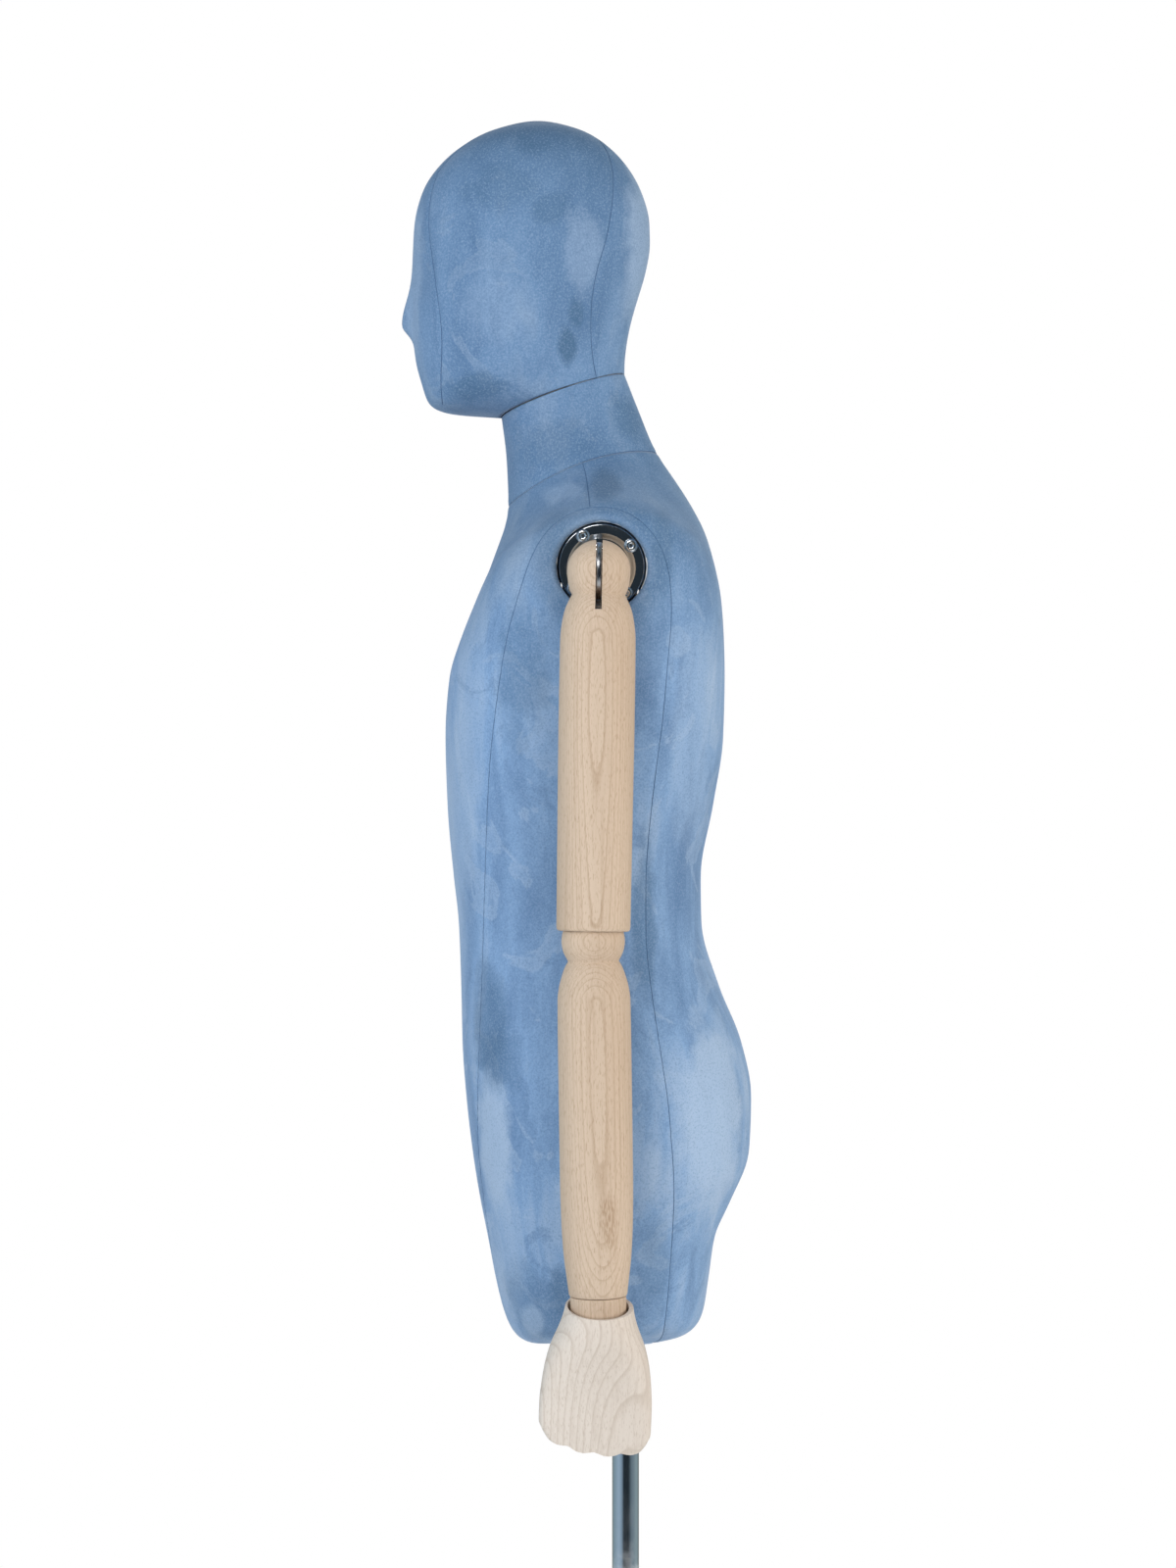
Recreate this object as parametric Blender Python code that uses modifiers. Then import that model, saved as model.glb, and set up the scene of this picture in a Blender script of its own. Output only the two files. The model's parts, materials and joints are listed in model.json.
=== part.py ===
"""Half-body display mannequin with articulated wooden arms on a chrome stand.

World frame: metres, +Z up, the floor at Z = 0 and the pole's axis at X = Y = 0.
The figure faces -Y, so its left arm is at +X.
Every table and function below works in millimetres; UNIT turns them into metres.
"""

import math

import bmesh
import bpy
from mathutils import Matrix, Vector

UNIT = 0.001
GAP = 0.4

# Stand
BASE_RADIUS = 190
BASE_TOP = 10.3
PAD_THICKNESS = 2
TUBE_RADIUS = 14
TUBE_BORE = 11.9
TUBE_TOP = 545
COLLAR_RADIUS = 20
COLLAR_BOTTOM = 522
COLLAR_TOP = 566
ROD_RADIUS = 11
ROD_BOTTOM = 280
ROD_TOP = 948
KNOB_HEIGHT = 555.5

# Body: fabric cover over a hollow shell
COVER_THICKNESS = 2.4
COVER_CLEARANCE = 0.9
SHELL_THICKNESS = 4
BODY_SEGMENTS = 20
HEAD_SEGMENTS = 16
TORSO_BOTTOM = 807.5

# Shoulder: plate in the armhole, spindle and tongue of the hook, ball of the arm
ARMHOLE_Y = -20.5
ARMHOLE_Z = 1429.5
ARMHOLE_RADIUS = 34.3
PLATE_FACE_X = 147
SHOULDER = (190, -22.7, 1423.5)
BALL_RADIUS = 23.6
TONGUE_THICKNESS = 4
TONGUE_RADIUS = 21.5
PIN_RADIUS = 3
SLOT_WIDTH = 4.8

# Arm: shoulder ball to elbow ball to wrist line, and how it hangs
UPPER_ARM_LENGTH = 273.9
FOREARM_LENGTH = 260
ARM_SPLAY = math.radians(3.4)
ARM_LEAN = math.radians(0.9)
ELBOW_SET = math.radians(-1.7)
ARM_SEGMENTS = 16
WRIST_DROP = 23
HAND_TILT = math.radians(12.4)
HAND_LEAN = math.radians(-2.9)

# Hand
RIM_ABOVE_PIVOT = 16
FINGER_PITCH = 20
FINGER_WIDTH = 15
FINGER_RADIUS = 7.2
KNUCKLE_X = -1
PHALANX = {"proximal": 38, "middle": 23, "distal": 19}
REST_FLEX = {"proximal": 78, "middle": 50, "distal": 25}
KNUCKLE_Z = {"index": -76, "middle": -81, "ring": -83.5, "little": -82}
THUMB_PHALANX = {"proximal": 27, "distal": 20}
THUMB_BASE = (-12, -21, -31)

# Neck cut between head and neck: centre (y, z) and how far it leans forward
NECK_CUT = (-51, 1576.4)
NECK_LEAN = math.radians(19)

# Each station of the torso: front point (y, z), back point (y, z), half width,
# fullness of the section (0 is an ellipse, more is squarer, less is narrower at the
# sides) and how far its sides are lifted above its middle.
NECK_STATIONS = [
    ((-101, 1559), (-1, 1593.4), 54, 0, 0),
    ((-97, 1526), (11, 1563), 54, 0, 0),
    ((-95.5, 1487.5), (24.5, 1531), 60, 0, 9),
]
TORSO_STATIONS = [
    ((-98, 1472), (42, 1505), 86, -0.2, 14),
    ((-103, 1457), (55.5, 1483), 116, -0.25, 20),
    ((-108, 1443), (65, 1463), 142, -0.08, 25),
    ((-114, 1425), (72, 1436), 156, 0.23, 33),
    ((-122, 1405), (77, 1407), 160.5, 0.33, 30),
    ((-133, 1379), (79, 1379), 160, 0.33, 20),
    ((-143, 1348), (80, 1348), 158, 0.28, 8),
    ((-146.5, 1300), (79, 1300), 153, 0.23, 0),
    ((-145, 1245), (71, 1245), 144, 0.18, 0),
    ((-140, 1187), (61, 1187), 136, 0.18, 0),
    ((-136, 1150), (61.5, 1150), 136, 0.18, 0),
    ((-134, 1097), (76, 1097), 146, 0.18, 0),
    ((-133, 1052), (94, 1052), 159, 0.18, 0),
    ((-130, 1010), (102, 1010), 165, 0.18, 0),
    ((-125, 966), (100.5, 966), 163, 0.18, 0),
    ((-119, 928), (86, 928), 157, 0.18, 0),
    ((-113, 898), (73, 898), 150, 0.18, 0),
    ((-106, 862), (67.5, 862), 141, 0.23, 4),
    ((-99, 834), (63, 834), 131, 0.23, 11),
    ((-93, 820), (57, 823), 121, 0.23, 16),
    ((-84, 811.5), (46, 815), 109, 0.23, 20),
    ((-72, 808.3), (33, 810.5), 94, 0.18, 20.5),
    ((-29, TORSO_BOTTOM), (29, TORSO_BOTTOM), 29, 0, 0),
    ((-17, TORSO_BOTTOM), (17, TORSO_BOTTOM), 17, 0, 0),
]
HEAD_STATIONS = [
    ((-101.2, 1559.8), (-1.2, 1594.2), 54, 0, 0),
    ((-140, 1562.5), (-1, 1605), 57, 0, 0),
    ((-158, 1568), (0.5, 1618), 62, 0, 0),
    ((-166, 1587), (4, 1636), 67, 0, 0),
    ((-171, 1606), (9.5, 1655), 71.5, 0, 0),
    ((-173, 1634), (16, 1677), 75.5, 0, 0),
    ((-173.5, 1664), (19.5, 1698), 78, 0, 0),
    ((-172, 1712), (19, 1718), 78, 0, 0),
    ((-165, 1741), (12.5, 1741.5), 73, 0, 0),
    ((-150, 1763), (-0.5, 1763.5), 63, 0, 0),
    ((-131, 1778.5), (-17, 1779.5), 49, 0, 0),
    ((-111, 1789), (-36, 1790.5), 31, 0, 0),
]
HEAD_TOP = (-72, 1798.5)
NOSE_TIP = (-184, 1634)

# Outline of the palm block below its rim: distance from the rim, half depth (X),
# half width (Y), squareness.
PALM_STATIONS = [
    (0, 27.5, 25, 2.0),
    (8, 28, 26.6, 2.1),
    (17, 27.5, 29.4, 2.2),
    (32, 24, 35.2, 2.5),
    (48, 20, 38.9, 2.8),
    (63, 17, 40.7, 3.1),
    (79, 14.7, 41.6, 3.5),
    (103, 12.5, 41.6, 4.0),
    (109, 12, 38.5, 4.0),
    (112, 11.5, 33, 4.0),
]


def clear_scene():
    for item in list(bpy.data.objects):
        bpy.data.objects.remove(item, do_unlink=True)
    for group in list(bpy.data.collections):
        bpy.data.collections.remove(group)
    for group_name in ("display_mannequin", "cutters"):
        group = bpy.data.collections.new(group_name)
        bpy.context.scene.collection.children.link(group)


def make_material(name, color, roughness, metallic=0.0):
    material = bpy.data.materials.new(name)
    material.use_nodes = True
    shader = material.node_tree.nodes["Principled BSDF"]
    shader.inputs["Base Color"].default_value = (*color, 1)
    shader.inputs["Roughness"].default_value = roughness
    shader.inputs["Metallic"].default_value = metallic
    material.diffuse_color = (*color, 1)
    return material


def finish_mesh(mesh):
    mesh.shade_smooth()
    mesh.set_sharp_from_angle(angle=math.radians(35))


def add_object(name, mesh, material, parent=None, place=(0, 0, 0), turn=(0, 0, 0)):
    """Link a mesh as a part, or as a cutter when it has no material."""
    item = bpy.data.objects.new(name, mesh)
    if material is None:
        bpy.data.collections["cutters"].objects.link(item)
        item.hide_render = True
        item.display_type = "WIRE"
    else:
        bpy.data.collections["display_mannequin"].objects.link(item)
        mesh.materials.append(material)
    item.parent = parent
    item.location = Vector(place) * UNIT
    item.rotation_euler = turn
    return item


def add_pivot(name, parent, place, turn=(0, 0, 0)):
    pivot = bpy.data.objects.new(name, None)
    bpy.data.collections["display_mannequin"].objects.link(pivot)
    pivot.parent = parent
    pivot.location = Vector(place) * UNIT
    pivot.rotation_euler = turn
    pivot.empty_display_size = 0.03
    return pivot


def mesh_from(name, shape):
    bmesh.ops.recalc_face_normals(shape, faces=shape.faces)
    bmesh.ops.scale(shape, vec=(UNIT, UNIT, UNIT), verts=shape.verts)
    mesh = bpy.data.meshes.new(name)
    shape.to_mesh(mesh)
    shape.free()
    finish_mesh(mesh)
    return mesh


def box(name, low, high, material=None, parent=None):
    shape = bmesh.new()
    bmesh.ops.create_cube(shape, size=1)
    size = Vector(high) - Vector(low)
    bmesh.ops.scale(shape, vec=size, verts=shape.verts)
    bmesh.ops.translate(shape, vec=(Vector(high) + Vector(low)) / 2, verts=shape.verts)
    return add_object(name, mesh_from(name, shape), material, parent)


def rod(name, axis, radius, start, end, centre=(0, 0), material=None, parent=None, sides=16):
    """A cylinder along X, Y or Z from start to end; centre is in the other two axes."""
    shape = bmesh.new()
    bmesh.ops.create_cone(shape, cap_ends=True, segments=sides, radius1=radius,
                          radius2=radius, depth=end - start)
    middle = (start + end) / 2
    if axis == "X":
        turn, place = ((0, math.radians(90), 0), (middle, *centre))
    elif axis == "Y":
        turn, place = ((math.radians(-90), 0, 0), (centre[0], middle, centre[1]))
    else:
        turn, place = ((0, 0, 0), (*centre, middle))
    return add_object(name, mesh_from(name, shape), material, parent, place, turn)


def turned(name, profile, material=None, parent=None, place=(0, 0, 0), turn=(0, 0, 0), sides=24):
    """Turn (radius, height) points, listed from the top down the outer side, about Z."""
    shape = bmesh.new()
    points = [shape.verts.new((radius * UNIT, 0, height * UNIT)) for radius, height in profile]
    for first, second in zip(points, points[1:]):
        shape.edges.new((first, second))
    mesh = bpy.data.meshes.new(name)
    shape.to_mesh(mesh)
    shape.free()
    item = add_object(name, mesh, material, parent, place, turn)
    screw = item.modifiers.new("Turn", "SCREW")
    screw.steps = sides
    screw.render_steps = sides
    screw.use_merge_vertices = True
    screw.merge_threshold = 0.00001
    screw.use_smooth_shade = True
    return item


def slab(name, outline, half_thickness, material=None, parent=None, chamfer=0):
    """Extrude an (x, z) outline to both sides of Y = 0."""
    shape = bmesh.new()
    near = [shape.verts.new((x, -half_thickness, z)) for x, z in outline]
    far = [shape.verts.new((x, half_thickness, z)) for x, z in outline]
    shape.faces.new(near)
    shape.faces.new(far[::-1])
    for index, corner in enumerate(near):
        following = (index + 1) % len(near)
        shape.faces.new((corner, near[following], far[following], far[index]))
    item = add_object(name, mesh_from(name, shape), material, parent)
    if chamfer:
        bevel = item.modifiers.new("Chamfer", "BEVEL")
        bevel.width = chamfer * UNIT
        bevel.segments = 1
        bevel.limit_method = "ANGLE"
        bevel.angle_limit = math.radians(40)
    return item


def arc(centre, radius, start_degrees, end_degrees, steps):
    """Points of an arc as (horizontal, vertical), angles from the horizontal axis."""
    points = []
    for step in range(steps + 1):
        angle = math.radians(start_degrees + (end_degrees - start_degrees) * step / steps)
        points.append((centre[0] + radius * math.cos(angle), centre[1] + radius * math.sin(angle)))
    return points


def signed_power(value, exponent):
    return math.copysign(abs(value) ** exponent, value)


def rounded_section(half_x, half_y, squareness, count):
    """A superellipse; squareness 2 is an ellipse and 4 is a rounded rectangle."""
    points = []
    for index in range(count):
        angle = 2 * math.pi * index / count
        points.append((half_x * signed_power(math.cos(angle), 2 / squareness),
                       half_y * signed_power(math.sin(angle), 2 / squareness)))
    return points


def station_ring(station, count):
    """A body section through its front and back points, which may stand at two heights."""
    front, back, half_width, fullness, lift = station
    middle = ((front[0] + back[0]) / 2, (front[1] + back[1]) / 2)
    reach = ((back[0] - front[0]) / 2, (back[1] - front[1]) / 2)
    ring = []
    for index in range(count):
        angle = 2 * math.pi * index / count
        side = math.cos(angle)
        along = math.sin(angle) * (1 + fullness * side ** 2)
        ring.append((half_width * side, middle[0] + reach[0] * along,
                     middle[1] + reach[1] * along + lift * side ** 2))
    return ring


def between(first, second, share):
    """The station that lies at a share of the way from one station to the next."""
    mix = [a + (b - a) * share for a, b in zip(first[2:], second[2:])]
    ends = [tuple(a + (b - a) * share for a, b in zip(first[i], second[i])) for i in (0, 1)]
    return (*ends, *mix)


def loft_mesh(name, rings, top_point=None, capped=False):
    """Join rings of points; the ends stay open, meet in a point or are capped."""
    shape = bmesh.new()
    loops = [[shape.verts.new(point) for point in ring] for ring in rings]
    for upper, lower in zip(loops, loops[1:]):
        for index in range(len(upper)):
            following = (index + 1) % len(upper)
            shape.faces.new((upper[index], lower[index], lower[following], upper[following]))
    if top_point:
        tip = shape.verts.new(top_point)
        last = loops[-1]
        for index in range(len(last)):
            shape.faces.new((last[index], tip, last[(index + 1) % len(last)]))
    if capped:
        shape.faces.new(loops[0])
        shape.faces.new(loops[-1])
    return mesh_from(name, shape)


def combine(item, operation, *others):
    for other in others:
        step = item.modifiers.new(operation.title(), "BOOLEAN")
        step.operation = operation
        step.solver = "EXACT"
        step.object = other


def skin(item, depth, thickness):
    """Thicken an open outer surface inwards, starting at a depth below it."""
    if depth:
        inset = item.modifiers.new("Inset", "DISPLACE")
        inset.strength = -depth * UNIT
        inset.mid_level = 0
    wall = item.modifiers.new("Wall", "SOLIDIFY")
    wall.thickness = thickness * UNIT
    wall.offset = -1


def build_stand(mats):
    pad_radius = BASE_RADIUS - 4
    turned("base_pad", [(0, PAD_THICKNESS), (pad_radius, PAD_THICKNESS), (pad_radius, 0), (0, 0)],
           mats["rubber"], sides=36)
    underside = PAD_THICKNESS + GAP
    turned("base_plate", [(0, BASE_TOP + 1.5), (120, BASE_TOP + 1.2), (BASE_RADIUS - 8, BASE_TOP - 0.6),
                          (BASE_RADIUS - 2, BASE_TOP - 2.4), (BASE_RADIUS, BASE_TOP - 5),
                          (BASE_RADIUS, underside + 1), (BASE_RADIUS - 1, underside), (0, underside)],
           mats["chrome"], sides=36)
    foot = BASE_TOP + 1.5 + GAP
    bore = TUBE_RADIUS + GAP
    turned("pole_socket", [(bore, foot + 46), (18, foot + 46), (19.5, foot + 44), (19.5, foot + 12),
                           (22, foot + 7), (34, foot + 4), (36, foot + 2), (36, foot), (bore, foot),
                           (bore, foot + 46)], mats["chrome"])
    turned("outer_tube", [(TUBE_BORE, TUBE_TOP), (TUBE_RADIUS, TUBE_TOP), (TUBE_RADIUS, foot + 1),
                          (TUBE_BORE, foot + 1), (TUBE_BORE, TUBE_TOP)], mats["chrome"])
    step = TUBE_TOP + GAP
    throat = ROD_RADIUS + 0.6
    collar = turned("clamp_collar", [(throat, COLLAR_TOP), (COLLAR_RADIUS - 2, COLLAR_TOP),
                                     (COLLAR_RADIUS, COLLAR_TOP - 2), (COLLAR_RADIUS, COLLAR_BOTTOM + 2),
                                     (COLLAR_RADIUS - 2, COLLAR_BOTTOM), (bore, COLLAR_BOTTOM),
                                     (bore, step), (throat, step), (throat, COLLAR_TOP)], mats["chrome"])
    combine(collar, "DIFFERENCE", rod("knob_hole", "Y", 3.5, 5, 30, (0, KNOB_HEIGHT), sides=12))

    knob_pivot = add_pivot("knob_pivot", None, (0, 0, KNOB_HEIGHT), (math.radians(-90), 0, 0))
    knob_profile = [(0, 43), (10, 43), (14, 41.5), (16, 38), (16, 32), (14, 28), (8, 26), (7, 21),
                    (3, 21), (3, ROD_RADIUS + 0.5), (0, ROD_RADIUS + 0.5)]
    knob = turned("clamp_knob", knob_profile, mats["knob"], knob_pivot, sides=24)
    for index in range(6):
        angle = math.radians(60 * index)
        centre = (20 * math.cos(angle), 20 * math.sin(angle))
        combine(knob, "DIFFERENCE", rod(f"knob_flute_{index}", "Z", 6.5, 24, 50, centre,
                                        parent=knob_pivot, sides=10))

    rod_pivot = add_pivot("rod_pivot", None, (0, 0, 0))
    turned("inner_rod", [(0, ROD_TOP), (ROD_RADIUS - 1, ROD_TOP), (ROD_RADIUS, ROD_TOP - 1),
                         (ROD_RADIUS, ROD_BOTTOM), (0, ROD_BOTTOM)], mats["chrome"], rod_pivot)
    return rod_pivot


def build_torso(mats, rod_pivot):
    torso = add_pivot("torso_pivot", rod_pivot, (0, 0, 0))
    armhole = rod("armhole", "X", ARMHOLE_RADIUS, -300, 300, (ARMHOLE_Y, ARMHOLE_Z), sides=24)

    seam = between(NECK_STATIONS[2], TORSO_STATIONS[0], 0.04)
    neck_rings = [station_ring(station, BODY_SEGMENTS) for station in NECK_STATIONS]
    trunk_rings = [station_ring(station, BODY_SEGMENTS) for station in [seam] + TORSO_STATIONS]
    for region, rings in (("torso", trunk_rings), ("neck", neck_rings)):
        shell = add_object(f"{region}_shell", loft_mesh(f"{region}_shell", rings), mats["shell"], torso)
        skin(shell, COVER_THICKNESS + COVER_CLEARANCE, SHELL_THICKNESS)
        cover = add_object(f"{region}_cover", loft_mesh(f"{region}_cover", rings), mats["velvet"], torso)
        skin(cover, 0, COVER_THICKNESS)
        if region == "torso":
            combine(shell, "DIFFERENCE", armhole)
            combine(cover, "DIFFERENCE", armhole)

    cut = add_pivot("neck_cut", torso, (0, *NECK_CUT), (NECK_LEAN, 0, 0))
    turned("neck_plate", [(0, 38), (10.5, 38), (12, 36), (12, -0.6), (44, -0.6), (44, -7), (0, -7)],
           mats["plywood"], cut)

    floor = TORSO_BOTTOM + COVER_THICKNESS + COVER_CLEARANCE + SHELL_THICKNESS + GAP
    bore = ROD_RADIUS + GAP
    turned("body_socket", [(0, ROD_TOP + 5), (14, ROD_TOP + 5), (15, ROD_TOP + 4), (15, floor + 5),
                           (25, floor + 5), (25, floor), (bore, floor), (bore, ROD_TOP + GAP),
                           (0, ROD_TOP + GAP)], mats["steel"], torso)
    return torso, cut


def build_head(mats, cut):
    head = add_pivot("head_pivot", cut, (0, 0, 0))
    middle = add_pivot("head_frame", head, (0, 0, 0), (-NECK_LEAN, 0, 0))
    rings = []
    for station in HEAD_STATIONS:
        ring = []
        for x, y, z in station_ring(station, HEAD_SEGMENTS):
            ring.append((x, y - NECK_CUT[0], z - NECK_CUT[1]))
        rings.append(ring)
    tip = (0, HEAD_TOP[0] - NECK_CUT[0], HEAD_TOP[1] - NECK_CUT[1])
    nose = Vector((0, NOSE_TIP[0] - NECK_CUT[0], NOSE_TIP[1] - NECK_CUT[1]))
    for name, material, depth, thickness in (
            ("head_cover", mats["velvet"], 0, COVER_THICKNESS),
            ("head_shell", mats["shell"], COVER_THICKNESS + COVER_CLEARANCE, SHELL_THICKNESS)):
        mesh = loft_mesh(name, rings, top_point=tip)
        nearest = min(mesh.vertices, key=lambda vertex: (vertex.co / UNIT - nose).length)
        nearest.co = nose * UNIT
        skin(add_object(name, mesh, material, middle), depth, thickness)
    turned("head_plate", [(12.6, 42), (16, 42), (16, 8.6), (43, 8.6), (43, 1.2), (12.6, 1.2), (12.6, 42)],
           mats["plywood"], head)


def build_shoulder_plate(mats, torso, side, suffix):
    """A pressed steel cup in the armhole, with a hole for the hook's spindle."""
    radius = ARMHOLE_RADIUS - 1.5
    plate = turned(f"shoulder_plate{suffix}", [(0, 0), (radius - 1, 0), (radius, -1), (radius, -12),
                                               (radius - 2, -12), (radius - 2, -3), (0, -3)],
                   mats["chrome"], torso, (side * PLATE_FACE_X, ARMHOLE_Y, ARMHOLE_Z),
                   (0, side * math.radians(90), 0))
    hole = rod(f"spindle_hole{suffix}", "X", 6.6, side * PLATE_FACE_X - 20, side * PLATE_FACE_X + 20,
               SHOULDER[1:], parent=torso, sides=12)
    combine(plate, "DIFFERENCE", hole)


def build_hook(mats, swing, side, suffix):
    """Tongue in the ball's slot, web to the plate, round flange and spindle, as one forging."""
    flange_face = PLATE_FACE_X + GAP - SHOULDER[0]
    web_end = flange_face + 2
    outline = [(web_end, 22.5), (-12, 22.5), *arc((0, 0), TONGUE_RADIUS, 100, -150, 14),
               (web_end, -7)]
    outline = [(side * x, z) for x, z in outline]
    hook = slab(f"shoulder_hook{suffix}", outline, TONGUE_THICKNESS / 2, mats["steel"], swing)
    ends = sorted((side * flange_face, side * (flange_face + 3)))
    flange = rod(f"hook_flange{suffix}", "X", 12, *ends, parent=swing, sides=20)
    ends = sorted((side * (flange_face - 18), side * (flange_face + 2)))
    spindle = rod(f"hook_spindle{suffix}", "X", 6, *ends, parent=swing, sides=12)
    eye = rod(f"hook_eye{suffix}", "Y", PIN_RADIUS + GAP, -10, 10, parent=swing, sides=12)
    combine(hook, "UNION", flange, spindle)
    combine(hook, "DIFFERENCE", eye)


def build_upper_arm(mats, arm, suffix):
    lip = -UPPER_ARM_LENGTH + 7.3
    cup_radius = BALL_RADIUS + 1.2
    cup_edge = math.degrees(math.asin(7.3 / cup_radius))
    profile = [*arc((0, 0), BALL_RADIUS, 90, 0, 5), (23.4, -6), (22.2, -12.5), (19.8, -17.6), (22, -22),
               (24.6, -28), (26.8, -38), (28, -50), (28.2, -110), (27.8, -190), (27.4, lip + 6),
               (26.6, lip + 1.5), (25, lip)]
    profile += arc((0, -UPPER_ARM_LENGTH), cup_radius, cup_edge, 90, 5)
    item = turned(f"upper_arm{suffix}", profile, mats["beech"], arm, sides=ARM_SEGMENTS)
    saw_cut = box(f"ball_slot{suffix}", (-40, -SLOT_WIDTH / 2, -26.4), (40, SLOT_WIDTH / 2, 40), parent=arm)
    pin_hole = rod(f"pin_hole{suffix}", "Y", PIN_RADIUS + GAP, -30, 30, parent=arm, sides=12)
    mortise = box(f"tongue_mortise{suffix}", (-3, -9.5, -UPPER_ARM_LENGTH + 15),
                  (3, 9.5, -UPPER_ARM_LENGTH + 56), parent=arm)
    combine(item, "DIFFERENCE", saw_cut, pin_hole, mortise)
    rod(f"shoulder_pin{suffix}", "Y", PIN_RADIUS, -22.4, 22.4, material=mats["brass"], parent=arm, sides=12)


def build_elbow_tongue(mats, arm, suffix):
    """A flat steel tongue let into the upper arm, with a cross pin that the forearm turns on."""
    centre = -UPPER_ARM_LENGTH
    outline = [(-9, centre + 55), (9, centre + 55), (9, centre + 8),
               *arc((0, centre), 12, 40, -220, 12), (-9, centre + 8)]
    tongue = slab(f"elbow_tongue{suffix}", outline, TONGUE_THICKNESS / 2, mats["steel"], arm)
    tongue.rotation_euler = (0, 0, math.radians(90))
    pin = rod(f"elbow_cross_pin{suffix}", "X", 4, -13, 13, (0, centre), parent=arm, sides=12)
    combine(tongue, "UNION", pin)


def build_forearm(mats, elbow, suffix):
    end = -FOREARM_LENGTH
    profile = [*arc((0, 0), BALL_RADIUS, 90, -36, 7), (18.9, -15), (21.2, -18.9), (23.7, -26), (25.6, -33),
               (26.9, -43), (27.1, -80), (27, -170), (26.4, -205), (24.8, -232), (22.8, -248),
               (21.4, end + 1), (20.8, end), (9, end), (9, end + 27), (0, end + 27)]
    item = turned(f"forearm{suffix}", profile, mats["beech"], elbow, sides=ARM_SEGMENTS)
    slot = box(f"elbow_slot{suffix}", (-3, -40, -13), (3, 40, 40), parent=elbow)
    pin_hole = rod(f"elbow_pin_hole{suffix}", "X", 4.5, -14, 14, parent=elbow, sides=12)
    combine(item, "DIFFERENCE", slot, pin_hole)


def build_wrist(mats, wrist, suffix):
    """Turned wrist: spigot in the forearm, visible barrel, round lower end in the hand's cup."""
    profile = [(0, 25), (7.5, 25), (8.5, 24), (8.5, -0.4), (20.2, -0.4), (20.7, -1), (20.7, -14)]
    profile += arc((0, -WRIST_DROP), 20.5, 0, -90, 5)
    turned(f"wrist_ball{suffix}", profile, mats["beech"], wrist, sides=ARM_SEGMENTS)


def knuckle_notch(name, side, half_width, parent):
    """The room a finger's round head and body need between pointing down and pointing inwards."""
    room = FINGER_RADIUS + 0.7
    outline = [*arc((0, 0), room, 0, 90, 5), (-40, room), (-40, -60), (room, -60)]
    return slab(name, [(side * x, z) for x, z in outline], half_width, parent=parent)


def build_phalanx(name, length, is_tip, half_width, mats, parent, side):
    """A slab with a round head on its hinge axis and a square or round lower end."""
    radius = FINGER_RADIUS
    if is_tip:
        lower = arc((0, -length + 6.5), 6.5, -180, 0, 6)
    else:
        end = -length + FINGER_RADIUS + 0.5
        lower = [(-radius + 0.3, end), (radius - 0.3, end)]
    outline = [*arc((0, 0), radius, 0, 180, 6), *lower]
    slab(name, [(side * x, z) for x, z in outline], half_width, mats["beech"], parent, chamfer=2.2)


def build_finger(mats, hand, finger, column, side, suffix):
    parent = hand
    place = (side * KNUCKLE_X, (column - 1.5) * FINGER_PITCH, KNUCKLE_Z[finger])
    for joint, length in PHALANX.items():
        turn = (0, side * math.radians(REST_FLEX[joint]), 0)
        parent = add_pivot(f"{finger}_{joint}_pivot{suffix}", parent, place, turn)
        build_phalanx(f"{finger}_{joint}{suffix}", length, joint == "distal", FINGER_WIDTH / 2,
                      mats, parent, side)
        place = (0, 0, -length)


def build_thumb(mats, hand, side, suffix):
    """The thumb swings on an upright hinge in the palm's inner face, forwards and inwards."""
    frame = add_pivot(f"thumb_frame{suffix}", hand, (side * THUMB_BASE[0], *THUMB_BASE[1:]),
                      (math.radians(-90), 0, 0))
    parent = frame
    place = (0, 0, 0)
    for joint, flex in (("proximal", 86), ("distal", 8)):
        length = THUMB_PHALANX[joint]
        parent = add_pivot(f"thumb_{joint}_pivot{suffix}", parent, place, (0, side * math.radians(flex), 0))
        build_phalanx(f"thumb_{joint}{suffix}", length, joint == "distal", FINGER_WIDTH / 2,
                      mats, parent, side)
        place = (0, 0, -length)
    return frame


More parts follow.
